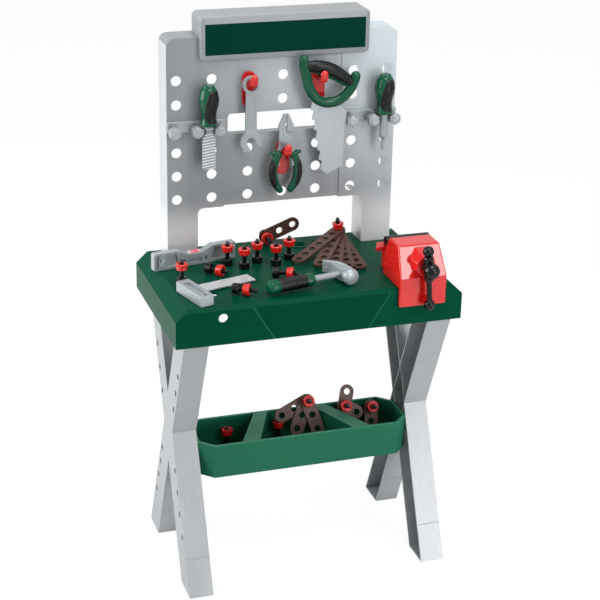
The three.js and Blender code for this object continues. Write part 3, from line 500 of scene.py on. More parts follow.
def rounded(corners, steps=8):
    """The points of an outline in x and z. A corner's third number is the radius of its rounding."""
    points = []
    for i, (x, z, *radius) in enumerate(corners):
        here = Vector((x, z))
        if not radius:
            points.append(here)
            continue
        inward = (Vector(corners[i - 1][:2]) - here).normalized()
        outward = (Vector(corners[(i + 1) % len(corners)][:2]) - here).normalized()
        half = inward.angle(outward) / 2
        middle = here + (inward + outward).normalized() * (radius[0] / math.sin(half))
        first = here + inward * (radius[0] / math.tan(half)) - middle
        last = here + outward * (radius[0] / math.tan(half)) - middle
        swing = -first.angle_signed(last)
        points += [middle + Matrix.Rotation(swing * step / steps, 2) @ first for step in range(steps + 1)]
    return points


def rectangle(left, bottom, right, top, *corner):
    """The corners of a rectangle, all with the same rounding."""
    return [(x, z, *corner) for x, z in ((left, bottom), (right, bottom), (right, top), (left, top))]


def line_drawn(points):
    """A line of edges in x and z, pulled from one vertex, and left open for shaping."""
    piece = start("plane", size=0.001, location=(points[0][0], 0, points[0][1]))
    edit(piece)
    all_picked()
    bpy.ops.mesh.merge(type="CENTER")
    for before, here in zip(points, points[1:]):
        reach = (here[0] - before[0], 0, here[1] - before[1])
        bpy.ops.mesh.extrude_vertices_move(TRANSFORM_OT_translate={"value": reach})
    bpy.ops.mesh.select_all(action="SELECT")
    return piece


def plate(corners, thick, steps=8):
    """A flat plate drawn in x and z, centred on y = 0."""
    piece = line_drawn(rounded(corners, steps=steps))
    bpy.ops.mesh.edge_face_add()
    bpy.ops.mesh.select_all(action="SELECT")
    bpy.ops.transform.translate(value=(0, -thick / 2, 0))
    bpy.ops.mesh.extrude_region_move(TRANSFORM_OT_translate={"value": (0, thick, 0)})
    return shut(piece)


def swept(piece, sides):
    """Sweeps an open line once round z, into a closed body."""
    bpy.ops.mesh.spin(steps=sides, angle=math.tau, center=(0, 0, 0), axis=(0, 0, 1))
    return shut(piece)


def turned(profile, sides=40, steps=5):
    """A body turned on a lathe about z, from its half outline of radii and heights."""
    return swept(line_drawn(rounded(profile, steps=steps)), sides)


header_grey = Plastic("header_grey", "8E9295", 0.36, 0.2, drift=0.05, flow=(0.1, 1, 1), shine=0.28)
low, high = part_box("header_housing")
wall_face, wall_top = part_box("upright_left")[0].y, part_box("upright_left")[1].z
border_side, border_top, border_bottom, border_slope, sign_inset = 0.008, 0.013, 0.010, 0.0024, 0.0004
hood_corner, hood_wall, hood_gap, sign_sink = 0.0092, 0.003, 0.0003, 0.0006
hood_plan = rectangle(low.x, low.z, high.x, high.z, hood_corner)
hood = plate(hood_plan, high.y - low.y - border_slope, 10)
at(hood, (0, (low.y + border_slope + high.y) / 2, 0))
edit(hood)
pick("FACE", lambda face: face.normal.y < -0.9)
bpy.ops.mesh.inset(thickness=border_side, depth=border_slope)
half_way = (low.z + high.z) / 2
for way, shift in ((1, border_side - border_top), (-1, border_bottom - border_side)):
    pick("VERT", lambda corner: corner.co.y < low.y + 0.0001 and way * (corner.co.z - half_way) > 0)
    bpy.ops.transform.translate(value=(0, 0, shift))
shut(hood)
eased(hood, 0.0016, 4)
seat_low = (low.x - 0.01, wall_face - hood_gap, low.z - 0.01)
seat = block(seat_low, (high.x + 0.01, high.y + 0.01, wall_top + hood_gap))
hollow_low = (low.x + hood_wall, low.y + 0.0045, wall_top + hood_gap + hood_wall)
hollow = block(hollow_low, (high.x - hood_wall, high.y + 0.01, high.z - hood_wall))
sign_low = Vector((low.x + border_side + sign_inset, low.y, low.z + border_bottom + sign_inset))
sign_right, sign_top = high.x - border_side - sign_inset, high.z - border_top - sign_inset
sign_high = Vector((sign_right, low.y + 2 * sign_sink, sign_top))
niche = block(sign_low - Vector((0, 0.01, 0)), sign_high)
combined(hood, [seat, hollow, niche])
smoothed()
fitted(hood, "header_hood", header_grey.cast(), "bench", "silver", "header_housing")

sign = block(sign_low + Vector((0.0002, sign_sink, 0.0002)), sign_high - Vector((0.0002, 0.0001, 0.0002)))
eased(sign, 0.0002, 2)
sign_green = Plastic("sign_green", "003329", 0.22, drift=0.04, flow=(0.2, 1, 1), peel=0.02, shine=0.04)
fitted(sign, "header_sign", sign_green.cast(), "bench", "green")


# ---------------------------------------------------------------- the two tool racks
# A silver bar with three fat moulded hexagon bolts, pressed into the peg holes. A stubby handle
# hangs between two of the bolts.
rack_grey = Plastic("rack_grey", "A0A6A9", 0.28, 0.5, drift=0.06, flow=(0.3, 1, 1), shine=0.45)
rack_grey_paint = rack_grey.cast()
bar_length, bar_thick, bar_height, bar_hang = 0.104, 0.008, 0.020, 0.004
pin_pitch, pin_radius, hex_corner, hex_length, button = 0.041, 0.005, 0.0115, 0.015, 0.002


def hex_bolt(x, y, z):
    """One moulded bolt: its neck, its chamfered hexagon and its round button, facing the front."""
    neck = rod((x, y + 0.022, z), (x, y + 0.012, z), pin_radius, sides=32)
    head = rod((x, y + button + hex_length, z), (x, y + button, z), hex_corner, sides=6)
    face = turned([(0, 0), (0.0068, 0), (0.0068, 0.004), (0, 0.004)], 36)
    cone = turned([(0, 0), (0.0094, 0), (0.0116, 0.0013), (0.0116, 0.02), (0, 0.02)], 48)
    at(cone, (x, y + button, z), (-90, 0, 0))
    at(face, (x, y, z), (-90, 0, 0))
    combined(head, [cone], "INTERSECT")
    return combined(neck, [head, face], "UNION")


for side, where in both_sides:
    low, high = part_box("rack_" + where)
    bar_back, bar_top = high.y, high.z
    pin_z = bar_top - bar_height + bar_hang
    outer_pin = (high.x if side > 0 else low.x) - side * 0.010
    bar_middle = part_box("upright_left")[0].x * 0.756 * -side
    ends = (bar_middle - bar_length / 2, bar_middle + bar_length / 2)
    corners = rectangle(ends[0], bar_top - bar_height, ends[1], bar_top, 0.002)
    bar = at(plate(corners, bar_thick), (0, bar_back - bar_thick / 2, 0))
    bolts = [hex_bolt(outer_pin - side * step * pin_pitch, low.y, pin_z) for step in range(3)]
    combined(bar, bolts, "UNION")
    eased(bar, 0.0005, 3)
    fitted(bar, "tool_rack_" + where, rack_grey_paint, "bench", "silver", "rack_" + where)


# ---------------------------------------------------------------- the red hooks
# Three glossy red hooks, each a round-ended plate with two plugs in the peg holes, and an arm with
# an upturned, rounded tip.
glossy_red = Plastic("glossy_red", "C81A15", 0.1, drift=0.04, peel=0.02, shine=0.65)
glossy_red_paint = glossy_red.cast()
hook_plate, hook_round, arm_width, arm_thick, lip_thick = 0.004, 0.0115, 0.013, 0.009, 0.005
arm_top, hook_plug, plug_reach, bead_middle = 0.002, 0.0085, 0.0075, 0.0062
for name in ("wrench", "saw", "pliers"):
    low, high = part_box("hook_" + name)
    x, upper_hole = (low.x + high.x) / 2, (low.z + high.z) / 2 + peg_pitch / 2
    face = high.y - plug_reach
    hook_plan = rectangle(low.x, low.z, high.x, high.z, hook_round)
    hook = at(plate(hook_plan, hook_plate), (0, face - hook_plate / 2, 0))
    eased(hook, 0.0012, 3)
    reach = face - hook_plate - low.y
    top = -arm_top
    arm = plate(
        [
            (0.002, top - arm_thick),
            (0.002, top),
            (lip_thick - reach, top),
            (lip_thick - reach, top + bead_middle),
            (-reach, top + bead_middle),
            (-reach, top - arm_thick + 0.005),
            (0.005 - reach, top - arm_thick),
        ],
        arm_width,
    )
    eased(arm, 0.0024, 5)
    bead_form = {"radius": 1, "scale": (0.0044, 0.0071, 0.0076), "rotation": (0, 0, 0.1)}
    bead = start("uv_sphere", segments=40, ring_count=20, **bead_form)
    combined(arm, [at(bead, (lip_thick / 2 - reach, 0, top + bead_middle))], "UNION")
    smoothed(40)
    at(arm, (x, face - hook_plate, upper_hole), (0, 0, 90))
    plugs = []
    for drop in (0, peg_pitch):
        plug = rod((x, face - 0.001, upper_hole - drop), (x, high.y, upper_hole - drop), hook_plug)
        plugs.append(eased(plug, 0.0006, 2))
    combined(hook, [arm, *plugs], "UNION")
    smoothed()
    fitted(hook, "tool_hook_" + name, glossy_red_paint, "bench", "red", "hook_" + name)


# ---------------------------------------------------------------- the wrench
# One flat casting in pale silver plastic: a ring that hangs on its hook, a shank with a sunk panel
# on each face, and an open jaw that looks down to the right.
tool_grey = Plastic("tool_grey", "989FA3", 0.34, 0.3, drift=0.05, flow=(1, 1, 0.3), shine=0.45)
tool_grey_paint = tool_grey.cast()
low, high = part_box("wrench")
ring_radius, ring_bore, ring_thick = 0.0163, 0.011, 0.008
shank_half, shank_thick, shank_length = 0.011, 0.005, 0.105
jaw_radius, jaw_thick, mouth, mouth_turn = 0.020, 0.007, 0.0165, -28
ring = eased(rod((0, -ring_thick / 2, 0), (0, ring_thick / 2, 0), ring_radius, sides=56), 0.0012, 4)
jaw = rod((0, -jaw_thick / 2, -shank_length), (0, jaw_thick / 2, -shank_length), jaw_radius, sides=56)
eased(jaw, 0.0010, 3)
shank = plate(
    [
        (-shank_half, -shank_length),
        (shank_half, -shank_length),
        (shank_half - 0.001, -0.004),
        (0.001 - shank_half, -0.004),
    ],
    shank_thick,
)
eased(shank, 0.0008, 3)
combined(ring, [jaw, shank], "UNION")
slot_end = rod((0, -0.02, 0), (0, 0.02, 0), mouth / 2)
slot_run = block((-mouth / 2, -0.02, -2 * jaw_radius), (mouth / 2, 0.02, 0))
throat = at(combined(slot_end, [slot_run], "UNION"), (0, 0, -shank_length), (0, mouth_turn, 0))
panel_half, panel_low, panel_high, panel_sink = 0.0062, -0.078, -0.026, 0.0007
panel_plan = rectangle(-panel_half, panel_low, panel_half, panel_high, 0.004)
sink_out = shank_thick / 2 + 0.002 - panel_sink
sinks = [at(plate(panel_plan, 0.004), (0, way * sink_out, 0)) for way in (-1, 1)]
bore = rod((0, -0.02, 0), (0, 0.02, 0), ring_bore, sides=48)
combined(ring, [throat, bore, *sinks])
eased(ring, 0.0004, 2, 50)
at(ring, ((low.x + high.x) / 2, (low.y + high.y) / 2, high.z - ring_radius))
fitted(ring, "hung_wrench", tool_grey_paint, "wrench", "tool_silver", "wrench")


# ---------------------------------------------------------------- the pliers
# Two silver halves turn on a round rivet. Each lever runs into a thick green grip with a winged
# stop at its top and a black insert with fine pimples along its outer side.
class Pimpled(Plastic):
    """Soft black plastic under rows of fine pimples, each painted lighter as a painted highlight."""

    def __init__(self, name, pitch=330):
        super().__init__(name, "050607", 0.3, drift=0.15, peel=0.02, shine=0.28)
        settings = {"Vector": self.place, "Scale": pitch, "Randomness": 0.15}
        spot = self.node("TexVoronoi", None, settings)
        pimple_and_highlight = 1 - spot.between(0.18, 0.32)
        self.height = self.height + pimple_and_highlight * 0.6
        # The pimples are also painted lighter grey: a painted highlight on each one.
        self.tint(pimple_and_highlight * 0.3, "565B5E")


def tube(points, radius, flat=1.0):
    """A bar with rounded ends along a smooth curve. A point's third number is its share of the radius."""
    line = bpy.data.curves.new("bar", "CURVE")
    line.dimensions = "3D"
    line.bevel_depth = radius
    line.bevel_resolution = 8
    line.resolution_u = 10
    line.use_fill_caps = True
    thread = line.splines.new("BEZIER")
    thread.bezier_points.add(len(points) - 1)
    for knot, (x, z, share) in zip(thread.bezier_points, points):
        knot.co = (x, 0, z)
        knot.radius = share
        knot.handle_left_type = knot.handle_right_type = "AUTO"
    bar = bpy.data.objects.new("bar", line)
    bpy.context.scene.collection.objects.link(bar)
    only(bar)
    bpy.ops.object.convert(target="MESH")
    bar = bpy.context.object
    edit(bar)
    shut(bar)
    caps = []
    for x, z, share in (points[0], points[-1]):
        ball = {"segments": 32, "ring_count": 16, "rotation": (0, 0.2, 0.1)}
        caps.append(start("uv_sphere", radius=radius * share * 1.005, location=(x, 0, z), **ball))
    combined(bar, caps, "UNION")
    edit(bar)
    bpy.ops.mesh.select_all(action="SELECT")
    bpy.ops.transform.resize(value=(1, flat, 1), center_override=(0, 0, 0))
    shut(bar)
    smoothed(40)
    return bar


def handed(side, plan):
    """The plan of one half of the pliers, mirrored for the other half."""
    return [(side * x, z, *rest) for x, z, *rest in plan]


tool_green = Plastic("tool_green", "004A32", 0.17, drift=0.06, peel=0.03, shine=0.3)
tool_green_paint = tool_green.cast()
soft_black = Pimpled("soft_black").cast()
low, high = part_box("pliers_half_front")
rivet_x, rivet_y, rivet_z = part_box("hook_pliers")[0].x + 0.0125, low.y + 0.006, high.z - 0.045
layer, play, rivet_radius, rivet_head = 0.004, 0.0003, 0.004, 0.0088
for side, where in ((1, "front"), (-1, "back")):
    body = "pliers_" + where
    lever_plan = (
        (-0.00015, 0.014),
        (-0.0135, 0.013, 0.002),
        (-0.0135, -0.003, 0.006),
        (-0.005, -0.012, 0.004),
        (0.0072, -0.0215, 0.0005),
        (0.011, -0.032),
        (0.011, -0.052),
        (0.019, -0.052),
        (0.019, -0.032),
        (0.0125, -0.014, 0.006),
        (0.0115, 0.004, 0.006),
        (-0.00015, 0.012),
    )
    lever_place = (0, -layer / 2 if side > 0 else play + layer / 2, 0)
    lever = at(plate(handed(side, lever_plan), layer), lever_place)
    eased(lever, 0.0007, 3)
    jaw_plan = (
        (-0.0004, 0.0125),
        (-0.0004, 0.020),
        (-0.0022, 0.025, 0.003),
        (-0.0004, 0.032),
        (-0.0004, 0.045),
        (-0.0045, 0.045, 0.0018),
        (-0.0145, 0.0225, 0.006),
        (-0.0135, 0.012),
    )
    jaw = plate(handed(side, jaw_plan), 2 * layer + play - 0.0004)
    eased(at(jaw, (0, play / 2, 0)), 0.0011, 3)
    combined(lever, [jaw], "UNION")
    if side > 0:
        pin = rod((0, -layer - 0.0002, 0), (0, layer + 0.0015, 0), rivet_radius)
        rim = [(rivet_head - 0.0008, 0, 0.0003), (rivet_head, 0.0009, 0.0003), (rivet_head, 0.0021)]
        cap = turned([(0, 0), *rim, (0, 0.0021)])
        combined(lever, [pin, at(cap, (0, -layer - 0.002, 0), (-90, 0, 0))], "UNION")
    else:
        combined(lever, [rod((0, -0.02, 0), (0, 0.02, 0), rivet_radius + play)])
    smoothed()
    at(lever, (rivet_x, rivet_y, rivet_z))
    fitted(lever, "pliers_lever_" + where, tool_grey_paint, body, "tool_silver", "pliers_half_" + where)

    path = [(0.0142, -0.030, 1), (0.0198, -0.044, 1), (0.0224, -0.066, 1), (0.0178, -0.086, 1)]
    path.append((0.0105, -0.0970, 0.9))
    grip = tube(handed(side, path), 0.0073)
    path = [(0.0135, -0.033, 1), (0.020, -0.0285, 1.0), (0.0265, -0.0270, 0.7)]
    wing = tube(handed(side, path), 0.0048)
    combined(grip, [wing], "UNION")
    slack_plan = ((0.0107, -0.0535), (0.0193, -0.0535), (0.0197, -0.015), (0.0070, -0.015), (0.0070, -0.0215))
    slack = plate(handed(side, slack_plan), layer + 2 * play)
    combined(grip, [at(slack, lever_place)])
    smoothed(40)
    at(grip, (rivet_x, rivet_y + play / 2, rivet_z))
    fitted(grip, "pliers_sleeve_" + where, tool_green_paint, body, "green", "pliers_grip_" + where)
    path = [(0.0212, -0.040, 0.6), (0.0236, -0.048, 0.95), (0.0252, -0.066, 1), (0.0210, -0.084, 0.9)]
    path.append((0.0170, -0.0915, 0.6))
    insert = tube(handed(side, path), 0.0067, flat=1.15)
    at(insert, (rivet_x, rivet_y - 0.0015, rivet_z))
    fitted(insert, "pliers_insert_" + where, soft_black, body, "black")


# ---------------------------------------------------------------- the saw
# A flat toothed blade in pale silver, and a bow of round green bar with a fat arched grip in soft
# black across it. The grip hangs on the hook.
blade = eased(casting("saw_blade"), 0.0004, 2)
blade_finish = Plastic("saw_silver", "A9B0B5", 0.38, 0.25, drift=0.04, flow=(1, 1, 0.2), shine=0.4)
fitted(blade, "hand_saw_blade", blade_finish.cast(), "saw", "tool_silver", "saw_blade")
low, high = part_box("saw_blade")
saw_place = low.x + 0.0244, (low.y + high.y) / 2, low.z + 0.183
bow_path = [
    (-0.0352, 0.0325, 0.95),
    (-0.0342, 0.0200, 1),
    (-0.0300, 0.0035, 1),
    (-0.0240, -0.0185, 1),
    (-0.0130, -0.0365, 1),
    (0.0030, -0.0468, 1),
    (0.0190, -0.0486, 1),
    (0.0360, -0.0436, 1),
    (0.0505, -0.0310, 1),
    (0.0605, -0.0140, 1),
    (0.0638, -0.0030, 1),
]
bow = tube(bow_path, 0.0092, flat=0.85)
saw_slot = block((-0.05, -0.0018, -0.10), (0.06, 0.0018, -0.0385))
root = block((-0.0260, -0.0018, -0.10), (0.05, 0.0018, -0.030))
combined(bow, [saw_slot])
combined(bow, [root])
smoothed(40)
at(bow, saw_place)
fitted(bow, "hand_saw_bow", tool_green_paint, "saw", "green", "saw_handle")
core_path = [
    (-0.0290, 0.0200, 0.75),
    (-0.0100, 0.0120, 0.9),
    (0.0200, 0.0010, 0.95),
    (0.0440, -0.0130, 0.85),
    (0.0555, -0.0190, 0.7),
]
core = tube(core_path, 0.0080, flat=0.85)
at(core, saw_place)
fitted(core, "hand_saw_core", tool_green_paint, "saw", "green", "saw_grip")
grip_path = [
    (-0.0265, 0.0205, 0.70),
    (-0.0120, 0.0190, 0.92),
    (0.0060, 0.0150, 1.0),
    (0.0220, 0.0085, 1.0),
    (0.0380, -0.0015, 0.92),
    (0.0535, -0.0125, 0.74),
]
saw_grip = tube(grip_path, 0.0124, flat=0.85)
at(saw_grip, saw_place)
fitted(saw_grip, "hand_saw_grip", soft_black, "saw", "black")


# ---------------------------------------------------------------- the screwdriver and the file
# Two stubby toy tools that hang between the moulded bolts. Both have the same waisted green handle
# with a soft black jacket, and a shaft of pale silver plastic.
def mm(*rows):
    """Rows of millimetres as rows of metres."""
    return [tuple(value / 1000 for value in row) for row in rows]


handle_profile = mm(
    (0, 0),
    (12.8, 0, 1),
    (15.5, 2.2, 1.2),
    (12.4, 14, 30),
    (13.8, 26, 80),
    (17.5, 40, 60),
    (18, 50, 30),
    (15.5, 64, 15),
    (11, 70, 4),
    (9.2, 74, 2),
    (0, 74),
)
jacket_profile = [(across and across + 0.0005, rise, *corner) for across, rise, *corner in handle_profile]
jacket_outline = mm((-11.5, 6, 8), (11.5, 6, 8), (15, 45, 10), (8, 65, 6), (-8, 65, 6), (-15, 45, 10))
tang_radius, tang_top, tool_play = 0.004, 0.023, 0.0003
tip, neck, tip_long, sleeve_long = 0.0035, 0.0075, 0.069, 0.046
screwdriver = turned(
    [
        (0, -tip_long),
        (tip - 0.0007, -tip_long, 0.0003),
        (tip, 0.006 - tip_long, 0.004),
        (tip, -sleeve_long - 0.003, 0.002),
        (neck - 0.002, -sleeve_long, 0.001),
        (neck, 0.004 - sleeve_long, 0.002),
        (neck, -tool_play),
        (tang_radius, -tool_play),
        (tang_radius, tang_top),
        (0, tang_top),
    ],
    40,
)
flute_foot, flute_top = -0.001 - tip_long, 0.011 - tip_long
flutes = [
    rod((a * 0.0026, b * 0.0026, flute_foot), (a * 0.0046, b * 0.0046, flute_top), 0.0019, sides=24)
    for a in (-1, 1)
    for b in (-1, 1)
]
combined(screwdriver, flutes)
low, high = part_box("file_blade")
blade_half, blade_long, shoulder, file_neck, file_thick = 0.012, 0.080, 0.024, 0.0045, 0.004
ridge_high, ridge_pitch, ridge_slant = 0.0029, 0.0053, 8
file = plate(
    [
        (-blade_half, -blade_long, 0.0015),
        (blade_half, -blade_long, 0.0015),
        (blade_half, -shoulder, 0.003),
        (file_neck, -0.012, 0.003),
        (file_neck, -0.002),
        (-file_neck, -0.002),
        (-file_neck, -0.012, 0.003),
        (-blade_half, -shoulder, 0.003),
    ],
    file_thick,
)
eased(file, 0.0006, 2)
ferrule_profile = mm((0, -11), (5, -11, 0.5), (9.5, -4, 1), (9.5, -0.3), (4, -0.3), (4, 23), (0, 23))
cuts = []
for step in range(9):
    ridge = block((-0.0113, -ridge_high, -0.0011), (0.0113, ridge_high, 0.0011))
    cuts.append(at(eased(ridge, 0.0003, 1), (0, 0, -0.0315 - step * ridge_pitch), (0, -ridge_slant, 0)))
combined(file, [turned(ferrule_profile, 40), *cuts], "UNION")
file_grey = Plastic("file_grey", "8B9295", 0.34, 0.3, drift=0.05, flow=(1, 1, 0.3), shine=0.45)
# The ridges across the file are painted lighter than the blade between them: a painted highlight along each
# ridge.
ridge_run = file_grey.axis("Z") - (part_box("file_handle")[0].z - 0.0315)
ridge_run = ridge_run - (file_grey.axis("X") - (low.x + high.x) / 2) * math.tan(math.radians(ridge_slant))
file_grey.tint(1 - ridge_run.maths("PINGPONG", ridge_run, ridge_pitch / 2).between(0.0009, 0.0014), "CDD2D4")
stubby = (("driver", screwdriver, "screwdriver", "_shaft"), ("file", file, "file", "_blade"))
for tool, shaft, node, kind in stubby:
    low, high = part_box(node + kind)
    foot = ((low.x + high.x) / 2, (low.y + high.y) / 2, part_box(node + "_handle")[0].z)
    only(shaft)
    smoothed()
    at(shaft, foot)
    shaft_paint = tool_grey_paint if tool == "driver" else file_grey.cast()
    fitted(shaft, f"stub_{tool}_shaft", shaft_paint, node, "tool_silver", node + kind)
    handle = turned(handle_profile, 56)
    combined(handle, [rod((0, 0, -0.01), (0, 0, tang_top + 0.001), tang_radius + tool_play)])
    smoothed()
    at(handle, foot)
    fitted(handle, f"stub_{tool}_handle", tool_green_paint, node, "green", node + "_handle")
    jacket = turned(jacket_profile, 56)
    combined(jacket, [at(plate(jacket_outline, 0.06), (0, 0, 0), (0, 0, 25))], "INTERSECT")
    eased(jacket, 0.0004, 2)
    at(jacket, foot)
    fitted(jacket, f"stub_{tool}_jacket", soft_black, node, "black")


# ---------------------------------------------------------------- the vise
# A glossy red housing that laps over the table's front edge, a red rear jaw with a soft black pad,
# and a glossy black screw with a sliding bar that carries a ball on each end.
table_low, table_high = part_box("tabletop")
low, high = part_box("vise_housing")
base, vise_x = low.z + 0.0333, (low.x + high.x) / 2
side_profile = mm((-0.3, -33.3), (-0.3, 0), (78, 0), (78, 47), (66, 72), (22, 72), (-8, 20.5), (-8, -33.3))
front_profile = mm((-44, -33.3), (44, -33.3), (44, 20.5), (39, 72), (-39, 72), (-44, 20.5))
housing = at(plate(side_profile, 0.09), (vise_x, table_low.y, base), (0, 0, 90))
combined(housing, [at(plate(front_profile, 0.4), (vise_x, 0, base))], "INTERSECT")
eased(housing, 0.0028, 5)
spindle_low, spindle_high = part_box("vise_spindle")
screw_x, screw_z = (spindle_low.x + spindle_high.x) / 2, (spindle_low.z + spindle_high.z) / 2
screw_bore = 0.0063


def bored(piece):
    """Bores a casting of the vise for its screw, and shades it."""
    combined(piece, [rod((screw_x, -1, screw_z), (screw_x, 1, screw_z), screw_bore, sides=48)])
    smoothed()


nose = start("cone", vertices=8, radius1=0.028, radius2=0.018, depth=0.034)
at(eased(at(nose, (0, 0, 0), (0, 0, 22.5)), 0.0007, 3), (screw_x, table_low.y + 0.005, screw_z), (90, 0, 0))
combined(housing, [nose], "UNION")
bored(housing)
fitted(housing, "vise_red_housing", glossy_red_paint, "bench", "red", "vise_housing")

low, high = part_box("vise_rear_jaw")
wing_profile = mm((-44, -13), (44, -13), (56, 13), (-56, 13))
wing = at(plate(wing_profile, 0.008), (0, 0, 0), (-90, 0, 0))
wing = at(wing, (0, 0, 0), (180, 0, 0))
eased(at(wing, (vise_x, (low.y + high.y) / 2, high.z - 0.004)), 0.0012, 3)
jaw = block((vise_x - 0.034, low.y, low.z), (vise_x + 0.034, high.y, high.z - 0.001))
combined(eased(jaw, 0.0012, 3), [wing], "UNION")
bored(jaw)
fitted(jaw, "vise_red_jaw", glossy_red_paint, "vise_jaw", "red", "vise_rear_jaw")

low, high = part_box("vise_jaw_pad")
pad_profile = [(low.y, low.z, 0.001), (high.y, low.z, 0.001), (high.y, high.z, 0.007), (low.y, high.z, 0.007)]
pad = at(plate(pad_profile, high.x - low.x), ((low.x + high.x) / 2, 0, 0), (0, 0, 90))
eased(pad, 0.0009, 3)
fitted(pad, "vise_soft_pad", soft_black, "vise_jaw", "black", "vise_jaw_pad")

glossy_black = Plastic("glossy_black", "040506", 0.1, drift=0.2, peel=0.02, shine=0.28)
glossy_black_paint = glossy_black.cast()
knob_y, bar_y, screw_tilt = -0.038, -0.024, (0, -4.2, 0)
screw_place = (screw_x, table_low.y, screw_z)
spindle = start("uv_sphere", segments=48, ring_count=24, radius=0.0145, location=(0, knob_y, 0))
collar_profile = mm((0, -4), (8.6, -4, 1), (10, 4, 3), (10, 24.4), (8.5, 25.7, 0.5), (0, 25.7))
collar = at(turned(collar_profile, 48), (0, knob_y, 0), (-90, 0, 0))
cheek = turned(mm((0, -23), (7.4, -23, 1), (9, -19, 2), (9, 19, 2), (7.4, 23, 1), (0, 23)), 48)
screw_rows = mm((0, 0), (5.3, 0), (6, 1.2))
thread_rows = mm((6, 0), (6, 1.6), (5.1, 2.4), (5.1, 3.2))
screw_rows += [(radius, 0.014 + turn * 0.004 + rise) for turn in range(21) for radius, rise in thread_rows]
screw_rows += [(0.006, 0.0985), (0.006, 0.1235), (0.0055, 0.124), (0, 0.124)]
stem = at(turned(screw_rows, 32), (0, 0, 0), (-90, 0, 0))
for joined in (collar, at(cheek, (0, bar_y, 0)), stem):
    combined(spindle, [joined], "UNION")
combined(spindle, [rod((0, bar_y, -0.1), (0, bar_y, 0.1), 0.0052, sides=40)])
smoothed(40)
at(spindle, screw_place, screw_tilt)
fitted(spindle, "vise_black_screw", glossy_black_paint, "vise_screw", "black", "vise_spindle")
bar_ends = (-0.069, 0.032)
slider = rod(*[(0, bar_y, end) for end in bar_ends], 0.0049)
ball_form = {"segments": 40, "ring_count": 20, "radius": 0.010, "rotation": (0, 0, 0.1)}
for end in bar_ends:
    ball = start("uv_sphere", location=(0, bar_y, end), **ball_form)
    combined(slider, [ball], "UNION")
smoothed(40)
at(slider, screw_place, screw_tilt)
fitted(slider, "vise_black_bar", glossy_black_paint, "vise_handle", "black", "vise_tommy_bar")


# ---------------------------------------------------------------- the hammer
# A toy claw hammer that lies on its side: a pale head with a domed striker and a notched claw, an
# eight-sided shaft, and a green grip with a ribbed soft black sleeve.
def set_in(piece, matrix):
    """Moves a piece that was made about the origin by a matrix."""
    only(piece)
    piece.matrix_world = matrix
    bpy.ops.object.transform_apply()
    return piece


def spun(axis, degrees):
    """A turn about an axis, as a matrix."""
    return Matrix.Rotation(math.radians(degrees), 4, axis)


def slid(distance):
    """A slide along z, as a matrix."""
    return Matrix.Translation((0, 0, distance))


def laid(plan, thick, level=0):
    """A plate drawn in x and y, that lies flat with its middle at a level."""
    return at(plate([(x, -y, *corner) for x, y, *corner in plan], thick), (0, 0, level), (90, 0, 0))


def frame_at(x, y, z, heading=0):
    """A place over the table, measured from the front edge of its top, with a heading in degrees."""
    place = Vector((x, table_low.y + y, table_high.z - 0.0025 + z))
    return Matrix.Translation(place) @ spun("Z", heading)


striker_radius, striker_long, claw_height, shaft_radius = 0.015, 0.029, 0.022, 0.006
shaft_long, shaft_middle, grip_end = 0.1492, -0.0694, -0.156
hammer_frame = frame_at(0.0607, 0.0623, 0.0003 + striker_radius, 12.3)
striker_profile = mm(
    (0, 0), (7, 0.5, 20), (13.2, 2.2, 3), (15, 5.5, 3), (15, 11, 1.5), (11.4, 15, 1), (11, 29), (0, 29)
)
striker = at(turned(striker_profile, 64), (0, -striker_long, 0), (-90, 0, 0))
claw_plan = mm(
    (11, -11, 3), (11, 14, 6), (4, 34, 14), (-14, 50, 1),
    (-18, 46, 1), (-8, 32, 8), (-11, 14, 3), (-11, -11, 3),
)
claw = laid(claw_plan, claw_height)
hollow_plan = mm(
    (7.5, 4, 2), (7.5, 14, 4), (1.5, 31, 10), (-10, 42, 1), (-5.5, 31, 8), (-7.5, 14, 2), (-7.5, 4, 2)
)
hollow = laid(hollow_plan, 0.01, claw_height / 2 + 0.0028)
combined(claw, [hollow])
eased(claw, 0.0011, 3)
combined(claw, [striker], "UNION")
split = at(plate(mm((26, 0), (78, -4), (78, 4)), 0.2), (0, 0, 0), (0, 0, 90))
eye = rod((-0.1, 0, 0), (0.0055, 0, 0), shaft_radius + tool_play, sides=8)
combined(claw, [split, eye])
smoothed()
set_in(claw, hammer_frame)
fitted(claw, "claw_hammer_head", tool_grey_paint, "hammer", "tool_silver", "hammer_head")
shaft = at(start("cylinder", vertices=8, radius=shaft_radius, depth=shaft_long), (0, 0, 0), (0, 0, 22.5))
at(eased(shaft, 0.0008, 2), (shaft_middle, 0, 0), (0, 90, 0))
set_in(shaft, hammer_frame)
fitted(shaft, "claw_hammer_shaft", tool_grey_paint, "hammer", "tool_silver", "hammer_shaft")
grip_profile = mm(
    (0, 0), (8, 0, 2), (12.5, 5, 3), (12.5, 14, 4), (11, 24, 8),
    (11, 74, 8), (11.5, 84, 3), (11, 90, 1), (9, 92, 0.5), (0, 92),
)
grip = turned(grip_profile, 64)
combined(grip, [rod((0, 0, 0.0117), (0, 0, 0.2), shaft_radius + tool_play, sides=8)])
smoothed()
at(grip, (grip_end, 0, 0), (0, 90, 0))
set_in(grip, hammer_frame)
fitted(grip, "claw_hammer_grip", tool_green_paint, "hammer", "green", "hammer_grip")
sleeve_rows = mm((11.0, 20.5), (11.6, 21.5))
for rib in range(13):
    run = rib * 4
    sleeve_rows += mm((12.1, 22.5 + run), (12.1, 24.9 + run), (11.5, 25.4 + run), (11.5, 26.0 + run))
sleeve_rows += mm((11.6, 75.5), (11.0, 76.5), (10, 76), (10, 21))
sleeve = swept(line_drawn([Vector(row) for row in sleeve_rows + sleeve_rows[:1]]), 64)
smoothed(40)
at(sleeve, (grip_end, 0, 0), (0, 90, 0))
set_in(sleeve, hammer_frame)
